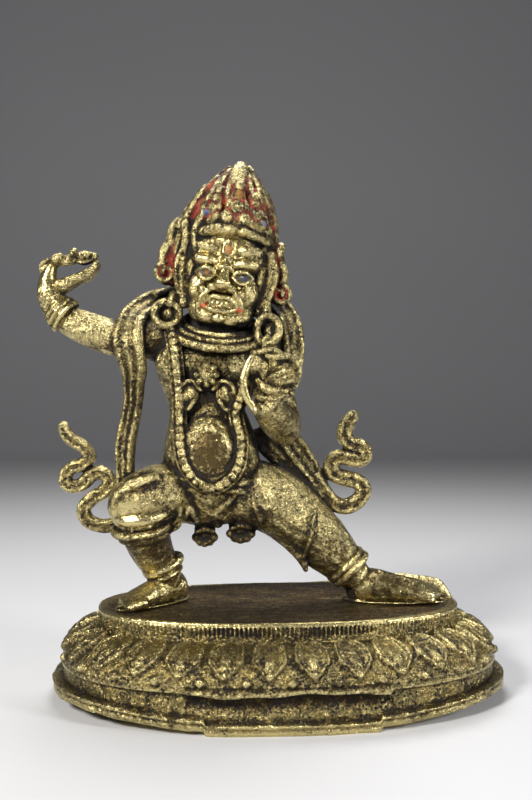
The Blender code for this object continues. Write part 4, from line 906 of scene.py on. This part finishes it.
class Skin:
    """A mesh's points, normals and neighbours, and the colours that are worked out on them."""

    def __init__(self, obj):
        self.mesh = obj.data
        self.count = len(self.mesh.vertices)
        self.ends = np.empty(len(self.mesh.edges) * 2, np.int64)
        self.mesh.edges.foreach_get("vertices", self.ends)
        self.ends = self.ends.reshape(-1, 2)
        self.degree = np.maximum(np.bincount(self.ends.ravel(), minlength=self.count), 1)
        self.read()
        spans = self.points[self.ends[:, 0]] - self.points[self.ends[:, 1]]
        self.edge = float(np.median(np.linalg.norm(spans, axis=1)))

    def read(self):
        points = np.empty(self.count * 3)
        self.mesh.vertices.foreach_get("co", points)
        self.points = points.reshape(-1, 3)
        normals = np.empty(self.count * 3)
        self.mesh.vertices.foreach_get("normal", normals)
        self.normals = normals.reshape(-1, 3)

    def move(self, points):
        self.mesh.vertices.foreach_set("co", points.ravel())
        self.mesh.update()
        self.read()

    def push(self, heights):
        """Moves each vertex along its normal, in metres."""
        self.move(self.points + self.normals * heights[:, None])

    def soften(self, values, times):
        """Each vertex's value becomes the mean of its neighbours', so many times."""
        if values.ndim == 2:
            return np.stack([self.soften(column, times) for column in values.T], axis=1)
        a, b = self.ends.T
        for _ in range(times):
            given = np.bincount(a, values[b], self.count) + np.bincount(b, values[a], self.count)
            values = given / self.degree
        return values

    def hollowness(self, reach):
        """How far the surface within reach stands above a vertex, in metres; ridges are negative."""
        times = max(1, round(2 * (reach / self.edge) ** 2))
        return ((self.soften(self.points, times) - self.points) * self.normals).sum(axis=1)

    def shelter(self, reach=0.02, rays=22):
        """The share of the sky over each vertex that nearby metal hides, 0 to 1."""
        polygons = [tuple(p.vertices) for p in self.mesh.polygons]
        tree = bvhtree.BVHTree.FromPolygons([tuple(p) for p in self.points], polygons)
        golden = math.pi * (3 - math.sqrt(5))
        heights = 1 - 2 * (np.arange(rays) + 0.5) / rays
        around = golden * np.arange(rays)
        flat = np.sqrt(1 - heights**2)
        directions = np.stack([np.cos(around) * flat, np.sin(around) * flat, heights], axis=1)
        facing = self.normals @ directions.T
        hidden = np.zeros(self.count)
        starts = self.points + self.normals * 0.00012
        for k, direction in enumerate(directions):
            ray = Vector(direction)
            for i in np.nonzero(facing[:, k] > 0.12)[0]:
                if tree.ray_cast(Vector(starts[i]), ray, reach)[0] is not None:
                    hidden[i] += facing[i, k]
        return hidden / np.maximum(np.where(facing > 0.12, facing, 0).sum(axis=1), 1e-6)

    def keep(self, name, values):
        """Stores one value or colour a vertex for the finish to read."""
        values = np.asarray(values, np.float32)
        kind = "FLOAT_COLOR" if values.ndim == 2 else "FLOAT"
        layer = self.mesh.attributes.new(name, kind, "POINT")
        layer.data.foreach_set("color" if values.ndim == 2 else "value", values.ravel())


def ease(low, high, values):
    """0 at low, 1 at high and smooth between, for whole arrays; low may be the larger."""
    t = np.clip((values - low) / (high - low), 0, 1)
    return t * t * (3 - 2 * t)


def spot(place, centre, radii):
    """1 inside an ellipsoid round centre, 0 outside."""
    return ease(1.12, 0.88, np.linalg.norm((place - centre) / radii, axis=1))


def in_modules(points):
    """Points in the figure's own modules, before its turn on the base."""
    back = np.array(Matrix.Rotation(math.radians(-STANCE_TURN), 3, "Z"))
    seat = np.array((OBJECT_CENTRE.x, OBJECT_CENTRE.y, BASE_HEIGHT + SEAT_GAP))
    return (points - seat) @ back.T / MODULE


def grain(points, size, seed):
    """Smooth noise, -1 to 1, with lumps of about this size in metres."""
    offset = Vector((seed * 7.3, seed * 3.1, seed * 5.7))
    return np.array([noise.noise(Vector(p) + offset) for p in points / size])


# Materials

class Finish:
    """A node material that is laid out in few lines."""

    def __init__(self, name):
        self.material = bpy.data.materials.new(name)
        self.material.use_nodes = True
        self.tree = self.material.node_tree
        self.shader = self.tree.nodes["Principled BSDF"]
        self.place = self.node("TexCoord").outputs["Object"]

    def feed(self, socket, value):
        if isinstance(value, bpy.types.NodeSocket):
            self.tree.links.new(value, socket)
        else:
            socket.default_value = value

    def node(self, kind, inputs=(), **settings):
        """A shader node with these settings; inputs are pairs of a socket's name or number and its value."""
        made = self.tree.nodes.new("ShaderNode" + kind)
        for name, value in settings.items():
            setattr(made, name, value)
        for socket, value in inputs:
            self.feed(made.inputs[socket], value)
        return made

    def attribute(self, name, output="Fac"):
        return self.node("Attribute", attribute_name=name).outputs[output]

    def math(self, operation, a, b=0.0):
        return self.node("Math", ((0, a), (1, b)), operation=operation).outputs[0]

    def total(self, *parts):
        """The sum of (value, weight) pairs."""
        made = self.math("MULTIPLY", *parts[0])
        for value, weight in parts[1:]:
            made = self.math("ADD", made, self.math("MULTIPLY", value, weight))
        return made

    def most(self, *values):
        made = values[0]
        for value in values[1:]:
            made = self.math("MAXIMUM", made, value)
        return self.math("MINIMUM", made, 1.0)

    def step(self, value, low, high):
        """Smooth from 0 at low to 1 at high; low may be the larger."""
        falls = low > high
        ends = (("From Min", min(low, high)), ("From Max", max(low, high)),
                ("To Min", float(falls)), ("To Max", float(not falls)))
        made = self.node("MapRange", (("Value", value), *ends), interpolation_type="SMOOTHSTEP")
        return made.outputs["Result"]

    def scaled(self, value, low, high):
        """From low where value is 0 to high where it is 1."""
        return self.node("MapRange", (("Value", value), ("To Min", low), ("To Max", high))).outputs["Result"]

    def blend(self, factor, a, b):
        """From colour a where factor is 0 to colour b where it is 1."""
        a, b = (c if isinstance(c, bpy.types.NodeSocket) else (*c, 1) for c in (a, b))
        return self.node("Mix", ((0, factor), (6, a), (7, b)), data_type="RGBA").outputs[2]

    def noise(self, size, detail=3.0, stretch=None, roughness=0.5):
        """Soft noise whose lumps are about size wide, in metres."""
        place = self.place
        if stretch:
            place = self.node("Mapping", (("Vector", place), ("Scale", stretch))).outputs["Vector"]
        return self.node("TexNoise", (("Scale", 1 / size), ("Detail", detail), ("Roughness", roughness),
                                      ("Vector", place))).outputs["Fac"]

    def cells(self, size, feature="F1"):
        """Distance to the nearest cell's heart, or to its edge, in cells."""
        return self.node("TexVoronoi", (("Scale", 1 / size), ("Vector", self.place)),
                         feature=feature).outputs["Distance"]

    def bump(self, height, strength, distance):
        return self.node("Bump", (("Strength", strength), ("Distance", distance),
                                  ("Height", height))).outputs["Normal"]


# Sizes of the finish's own patterns, in metres, and its polish
WIDE_PATCHES = 0.0055
PATCHES = 0.0018
SPECKS = 0.00062
FINE_SPECKS = 0.00028
PIT_SPACING = 0.00105
CRACK_SPACING = 0.0019
CHISEL_MARKS = 0.0019
WEAR_PATCHES = 0.0022
STREAK_WIDTH = 0.0011
LEAST_ROUGHNESS = 0.20
BUMP_DEPTH = 0.00075

GILDING = (0.64, 0.54, 0.25)
GILDING_MID = (0.27, 0.205, 0.070)
GILDING_DIRT_AND_SHADE = (0.070, 0.046, 0.017)
COPPER_WORN_AND_SHADE = (0.118, 0.084, 0.034)
STREAK_BROWN = (0.085, 0.048, 0.02)
DARK_PATINA_AND_SHADE = (0.010, 0.007, 0.004)


def gilt_metal(name, pitting):
    """Worn, chased gilding with patina and painted shade in its hollows; pitting is how readily the surface
    is pitted and dark.
    """
    f = Finish(name)
    patina_and_shade, ridge, brown, streaks, calm = (
        f.attribute(name) for name in ("patina_and_shade", "ridge", "brown", "streaks", "calm"))
    cover = f.attribute("paint", "Alpha")
    colour = f.attribute("paint", "Color")
    wide = f.noise(WIDE_PATCHES, 4)
    patch = f.noise(PATCHES, 3)
    speck = f.noise(SPECKS, 4, roughness=0.62)
    fine = f.noise(FINE_SPECKS, 2)
    # Pits crowd together in patches, in hollows and in painted shade, and ridges are rubbed clean
    rough = f.total((f.step(wide, 0.38, 0.62), 0.62), (patina_and_shade, 0.75), (ridge, -0.55), (calm, -0.65))
    rough = f.math("ADD", rough, pitting)
    speckle = f.step(f.total((speck, 1.0), (rough, 0.16)), 0.60, 0.66)
    pits = f.step(f.total((f.cells(PIT_SPACING), 1.0), (rough, -0.13)), 0.12, 0.05)
    to_crack = f.cells(CRACK_SPACING, "DISTANCE_TO_EDGE")
    cracks = f.step(f.total((to_crack, 1.0), (rough, -0.03)), 0.02, 0.006)
    # Short winding chisel marks follow the level lines of a soft noise
    level = f.math("ABSOLUTE", f.math("SUBTRACT", f.noise(CHISEL_MARKS, 1), 0.5))
    here = f.step(f.total((patch, 1.0), (rough, 0.08)), 0.50, 0.54)
    chased = f.math("MULTIPLY", f.step(level, 0.026, 0.009), here)
    # Painted shade and patina: sunk is dark where the hollow mask, with its painted shade of sheltered
    # places, is deep.
    sunk_and_shaded = f.step(f.total((patina_and_shade, 1.0), (speck, 1.7), (fine, 0.8)), 1.66, 2.10)
    # The dark mask is pits, cracks and chisel marks, with the patina and painted shade of sunk.
    dark = f.most(sunk_and_shaded, speckle, pits, f.total((cracks, 0.6)), f.total((chased, 0.85)))
    gold = f.blend(f.step(f.total((ridge, 0.55), (wide, 0.6), (speck, 0.8), (patch, 0.4)), 0.64, 1.32),
                   GILDING_MID, GILDING)
    # The film darkens the gilding with dirt in patches, and with patina and painted shade where the hollow
    # mask is deep.
    dirt_and_shade_film = f.step(f.total((patina_and_shade, 0.9), (wide, 0.5), (speck, 1.2), (patch, 0.5), (calm, -0.3)), 0.96, 1.50)
    gold = f.blend(dirt_and_shade_film, gold, GILDING_DIRT_AND_SHADE)
    # The brown mask holds worn gilding and, on the figure, painted shade on the lower side of the straight
    # leg and under the raised arm.
    patchy = f.total((f.noise(WEAR_PATCHES, 4), 1.0), (speck, 0.8), (brown, 0.22))
    worn = f.math("MULTIPLY", brown, f.step(patchy, 0.90, 1.20))
    metal = f.blend(worn, gold, COPPER_WORN_AND_SHADE)
    long_streaks = f.noise(STREAK_WIDTH, 4, (0.07, 1, 1))
    metal = f.blend(f.math("MULTIPLY", streaks, f.step(long_streaks, 0.38, 0.60)), metal, STREAK_BROWN)
    metal = f.blend(dark, metal, DARK_PATINA_AND_SHADE)
    colour = f.blend(f.math("MULTIPLY", dark, 0.55), colour, DARK_PATINA_AND_SHADE)
    f.feed(f.shader.inputs["Base Color"], f.blend(cover, metal, colour))
    bare = f.math("SUBTRACT", 1.0, cover)
    f.feed(f.shader.inputs["Metallic"], f.math("MULTIPLY", f.scaled(dark, 0.97, 0.3), bare))
    shine = f.total((dark, 0.34), (worn, 0.10), (streaks, 0.12), (fine, 0.12), (cover, 0.25), (dirt_and_shade_film, 0.06))
    f.feed(f.shader.inputs["Roughness"], f.math("ADD", shine, LEAST_ROUGHNESS))
    height = f.total((speck, 0.40), (fine, 0.08), (dark, -0.6), (patch, 1.6))
    height = f.math("MULTIPLY", height, f.scaled(calm, 1.0, 0.22))
    f.feed(f.shader.inputs["Normal"], f.bump(height, 1.0, BUMP_DEPTH))
    return f.material


# The two pieces

FINE_GRAIN = 0.0011
RED = (0.56, 0.060, 0.026)
ORANGE_RED = (0.50, 0.10, 0.025)
AMBER = (0.36, 0.15, 0.02)
EYE_GLINT = (0.60, 0.60, 0.52)
EYE_DARK = (0.035, 0.030, 0.020)
DARK_BLUE = (0.02, 0.03, 0.06)
GEM_BLUE = (0.12, 0.16, 0.30)


# Spots of paint as (centre, radii, colour), in modules: eyes with a painted white glint in each, brow eye,
# corners of the mouth, stones
PAINTED_SPOTS = (
    ((-69.9, -36, 322.4), (7.6, 12, 4.0), EYE_DARK),
    ((-33.7, -36, 315.9), (7.6, 12, 4.0), EYE_DARK),
    ((-69.0, -36, 322.2), (3.0, 14, 2.6), AMBER),
    ((-34.5, -36, 315.9), (3.4, 14, 3.0), DARK_BLUE),
    # Painted highlights: a small white glint in each eye.
    ((-66.6, -36, 323.4), (1.1, 14, 1.0), EYE_GLINT),
    ((-36.4, -36, 317.2), (0.9, 14, 0.9), EYE_GLINT),
    ((-48.4, -36, 343.4), (3.6, 12, 5.4), AMBER),
    ((-72.8, -36, 290.5), (3.4, 14, 3), ORANGE_RED),
    ((-38.2, -36, 285.5), (4.2, 14, 2.6), ORANGE_RED),
    ((-38.4, -36, 397), (4.5, 20, 4.5), AMBER),
    ((-71, -40, 381), (4, 16, 4), GEM_BLUE),
    ((-13.5, -40, 371), (4, 18, 4), GEM_BLUE))
PAINT_COVER = 0.95


class Paint:
    """Pigment, and the painted glints of the eyes, laid over the metal spot by spot."""

    def __init__(self, skin):
        self.colours = np.zeros((skin.count, 4))

    def lay(self, mask, colour):
        mask = np.clip(mask, 0, 1)[:, None]
        self.colours[:, :3] = self.colours[:, :3] * (1 - mask) + np.array(colour) * mask
        self.colours[:, 3:] = np.maximum(self.colours[:, 3:], mask)


def patina_shade_and_wear(skin, calm, dark_places=0.0):
    """Patina in hollows, painted shade where metal hides the sky, and ridges rubbed bright, from the form;
    calm holds back patina and shade.
    """
    near, middle, far = (skin.hollowness(reach) for reach in (0.00045, 0.0012, 0.0030))
    # Painted shade: the hollow mask is made darker where nearby metal hides the sky, on top of the patina
    # that the hollows of the form hold.
    shelter = skin.soften(skin.shelter(), 2)
    patina_and_shade = (ease(0.00001, 0.00008, near) * 0.5 + ease(0.00005, 0.00030, middle) * 0.6
              + ease(0.0004, 0.0014, far) * 0.15) * (1 - calm) + ease(0.5, 0.92, shelter) * (1 - 0.6 * calm)
    open_sky = 1 - ease(0.4, 0.8, shelter)
    ridge = (ease(0.00002, 0.00008, -near) * 0.5 + ease(0.00012, 0.0005, -middle) * 0.6) * open_sky
    # dark_places adds further darkened places to the hollow mask.
    skin.keep("patina_and_shade", np.clip(skin.soften(patina_and_shade, 1) + dark_places, 0, 1.2))
    skin.keep("ridge", np.clip(ridge, 0, 1))
    return middle


def worn_copper_and_shade(place):
    """Where the figure is browner: gilding worn through to brown metal, and brown painted shade along the
    lower side of the straight leg and under the raised arm.
    """
    x, y, z = place.T
    belly = spot(place, (-66, -44, 150), (17, 16, 21)) * 1.6
    shin = ease(74, 66, z) * ease(40, 48, z) * ease(-96, -104, x) * 1.2
    # Painted shade: brown along the lower side of the straight leg.
    leg_line = z - np.interp(x, (-40, 0, 30, 64), (100, 94, 68, 34))
    leg = ease(-45, -32, x) * ease(82, 76, x) * ease(12, -10, leg_line) * ease(120, 108, z) * 0.9
    calf = spot(place, (48, -20, 50), (20, 30, 16)) * 0.9
    elbow = spot(place, (8, -20, 180), (22, 34, 20)) * 0.9
    # Painted shade: brown under the raised arm.
    raised_arm_under = ease(-150, -158, x) * ease(262, 250, z) * ease(225, 235, z)
    forward_foot = ease(82, 90, x) * ease(84, 90, x) * ease(146, 134, x) * ease(40, 30, z) * ease(3, 8, z)
    knots = spot(place, (-57, -10, 72), (40, 20, 20)) * 0.8
    worn = (belly, shin, leg, calf, elbow, raised_arm_under, forward_foot * 1.05, knots)
    return np.clip(np.max(worn, axis=0), 0, 1.5)


def smooth_places(place):
    """Where handling has kept the figure smooth: knee, feet, belly, anklets, noose and raised hand."""
    found = [spot(place, centre, radii) for centre, radii in (
        ((-134, -50, 88), (26, 30, 16)), ((-125, -20, 10), (40, 40, 16)), ((118, 0, 10), (60, 30, 20)),
        ((-66, -44, 150), (18, 16, 22)), ((-113, -8, 34), (24, 26, 12)), ((68, 0, 33), (20, 30, 16)),
        ((-217, -6, 288), (14, 24, 18)), ((-29, -71, 215), (10, 8, 32)), ((-225, -8, 318), (16, 16, 20)))]
    return np.max(found, axis=0) * 0.8


def in_head(place):
    """Module points in the head's own upright frame."""
    matrix = Matrix.Translation(HEAD_CENTRE) @ Matrix.Rotation(math.radians(HEAD_TILT), 4, "Y")
    back = np.array(matrix.inverted())
    return place @ back[:3, :3].T + back[:3, 3]


def face_and_hair_paint(skin, place, middle):
    """Red pigment in the grooves of the hair, and the painted spots of the face and the crown, with a painted
    glint in each eye.
    """
    paint = Paint(skin)
    head = in_head(place)
    over_crown = ease(50, 55, head[:, 2]) + ease(10, 16, head[:, 1]) * ease(-12, 0, head[:, 2])
    curls = np.maximum(spot(place, (-113, -5, 340), (13, 20, 34)), spot(place, (4, -7, 322), (12, 20, 38)))
    locks = np.clip(np.maximum(over_crown, curls) * ease(275, 285, place[:, 2]), 0, 1)
    worn = 0.75 + 0.5 * grain(skin.points, 0.004, 5)
    paint.lay(locks * ease(-0.00006, 0.00003, middle) * np.clip(worn, 0, 1), RED)
    for centre, radii, colour in PAINTED_SPOTS:
        paint.lay(spot(place, centre, radii) * PAINT_COVER, colour)
    return paint


def figure():
    """The figure, cast, chased, coloured and put in place of its solid."""
    points, faces = figure_shells()
    made = mesh_object("gilt_guardian", points, faces)
    cast(made, CASTING_GRAIN)
    thin_out(made, FIGURE_TRIANGLES)
    skin = Skin(made)
    place = in_modules(skin.points)
    skin.push(grain(skin.points, FINE_GRAIN, 1) * 0.00007 + grain(skin.points, 0.0030, 2) * 0.00012)
    skin.move(np.clip(skin.points, FIGURE_LOW, FIGURE_HIGH))
    face = spot(in_head(place), (0, -40, -2), (32, 20, 46))
    # Painted shade: darker under the heel, under the arm, under the ear and round the knots between the
    # thighs.
    under_heel = spot(place, (68, -8, 6), (9, 14, 9)) * 0.8
    under_arm = spot(place, (-16, -8, 160), (9, 26, 22)) * 0.8
    under_ear = spot(place, (-34, -22, 268), (13, 22, 7)) * 0.7
    painted_shade_spots = under_heel + under_arm + under_ear + spot(place, (-57, -10, 72), (36, 24, 16)) * 0.35
    middle = patina_shade_and_wear(skin, np.clip(face * 0.8 + smooth_places(place) * 0.4, 0, 1), painted_shade_spots)
    skin.keep("calm", np.maximum(face * 0.7, smooth_places(place)))
    skin.keep("brown", worn_copper_and_shade(place))
    skin.keep("streaks", np.zeros(skin.count))
    skin.keep("paint", face_and_hair_paint(skin, place, middle).colours)
    made.data.shade_smooth()
    made.data.materials.append(gilt_metal("gilt_figure", 0.0))
    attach(made, "root")
    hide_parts("guardian_figure")


def base():
    """The lotus base, hammered, coloured and put in place of its solid."""
    made = lotus_base()
    skin = Skin(made)
    hammered = 0.00008 + 0.00022 * ease(PETAL_FOOT_HEIGHT - 0.001, 0.006, skin.points[:, 2])
    skin.push(grain(skin.points, FINE_GRAIN, 3) * 0.00005 + grain(skin.points, 0.0038, 4) * hammered)
    skin.move(np.clip(skin.points, BASE_LOW, BASE_HIGH))
    x, y, z = (skin.points - OBJECT_CENTRE).T
    inside_rim = np.hypot(x / HALF_LENGTH, y / HALF_DEPTH)
    plate = ease(BASE_HEIGHT - 0.0012, BASE_HEIGHT - 0.0005, z) * ease(0.985, 0.955, inside_rim)
    # back_edge makes the top of the plate darker towards its back edge.
    back_edge = plate * ease(0.006, 0.022, y) * 0.5
    along_lip = ease(LIP_LEFT, LIP_LEFT + 0.004, x) * ease(LIP_RIGHT, LIP_RIGHT - 0.004, x) * (y < 0)
    # Painted shade: under_lip darkens the band under the front lip.
    under_lip = ease(0.0045, 0.0065, z) * ease(0.0105, 0.0095, z) * along_lip * 0.15
    # rib and ribs darken the grooves between the ribs of the rim band.
    rib = np.abs(np.cos(math.pi * RIBS_PER_PETAL * (np.arange(skin.count) - 1) / COLUMNS_PER_PETAL)) ** 2
    ribs = rib * ease(RIB_FOOT, RIB_FOOT + 0.0012, z) * ease(RIB_TOP, RIB_TOP - 0.0004, z)
    ribs = ribs * ease(0.985, 0.995, inside_rim) * ease(1.02, 1.01, inside_rim) * 0.8
    shoulder = ease(BASE_HEIGHT - 0.0075, BASE_HEIGHT - 0.0062, z) * ease(0.99, 1.0, inside_rim)
    patina_shade_and_wear(skin, 0.46 + 0.44 * shoulder, back_edge + under_lip + ribs)
    rim = ease(BASE_HEIGHT - 0.0014, BASE_HEIGHT - 0.0006, z) * ease(0.965, 0.98, inside_rim)
    skin.keep("calm", np.maximum(rim * 0.8, ease(0.003, 0.0015, z) * 0.6))
    skin.keep("brown", plate)
    skin.keep("streaks", plate)
    skin.keep("paint", np.zeros((skin.count, 4)))
    made.data.shade_smooth()
    made.data.materials.append(gilt_metal("gilt_base", -0.02))
    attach(made, "root")
    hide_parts("lotus_base")


# Floor, light and camera

def sweep():
    """A pale floor that curves up behind into a plain backdrop."""
    half_width, front, back, bend, top = 3.0, -1.6, 1.5, 0.5, 2.2
    profile = [(front, 0.0), (back - bend, 0.0)]
    for k in range(1, 13):
        a = math.radians(90 * k / 12)
        profile.append((back - bend + math.sin(a) * bend, bend - math.cos(a) * bend))
    profile.append((back, top))
    points = [(x, y, z) for y, z in profile for x in (-half_width, half_width)]
    faces = [(2 * i, 2 * i + 1, 2 * i + 3, 2 * i + 2) for i in range(len(profile) - 1)]
    made = mesh_object("studio_sweep", points, faces)
    made.data.shade_smooth()
    f = Finish("pale_floor")
    f.feed(f.shader.inputs["Base Color"], f.blend(f.noise(0.4, 2), (0.60, 0.60, 0.61), (0.64, 0.64, 0.65)))
    f.shader.inputs["Roughness"].default_value = 0.7
    made.data.materials.append(f.material)


def soft_light(name, place, aim, size, power, tint=(1, 1, 1)):
    """A square lamp at place that faces aim."""
    data = bpy.data.lights.new(name, "AREA")
    data.energy = power
    data.size = size
    data.color = tint
    light = bpy.data.objects.new(name, data)
    light.location = place
    light.rotation_euler = (Vector(aim) - Vector(place)).to_track_quat("-Z", "Y").to_euler()
    bpy.context.scene.collection.objects.link(light)


def studio():
    """A key and a fill light from in front, and a wide soft one from above and behind."""
    heart = (0, 0, 0.07)
    soft_light("key", (-0.32, -0.36, 0.36), heart, 0.11, 3.6, (1.0, 0.98, 0.95))
    soft_light("fill", (0.44, -0.28, 0.24), heart, 0.11, 1.8, (0.98, 0.98, 1.0))
    soft_light("top", (0.02, 0.20, 0.52), heart, 0.26, 2.0)
    world = bpy.data.worlds.new("studio")
    world.use_nodes = True
    world.node_tree.nodes["Background"].inputs["Color"].default_value = (0.085, 0.085, 0.09, 1)
    bpy.context.scene.world = world


# The photograph was taken level, from in front of the figure and a little to its side
LENS = 40.5
SENSOR = 36.0
CAMERA_POINT = Vector((-13, -900, 285)) * MODULE


def camera():
    """The photograph's viewpoint."""
    data = bpy.data.cameras.new("camera")
    data.lens = LENS
    data.sensor_width = SENSOR
    data.sensor_fit = "AUTO"
    data.clip_start = 0.005
    turn = math.radians(STANCE_TURN)
    made = bpy.data.objects.new("camera", data)
    made.location = OBJECT_CENTRE + Matrix.Rotation(turn, 3, "Z") @ CAMERA_POINT
    made.rotation_euler = (math.pi / 2, 0, turn)
    bpy.context.scene.collection.objects.link(made)
    bpy.context.scene.camera = made
    bpy.context.scene.view_settings.view_transform = "Standard"


camera()
studio()
sweep()
base()
figure()
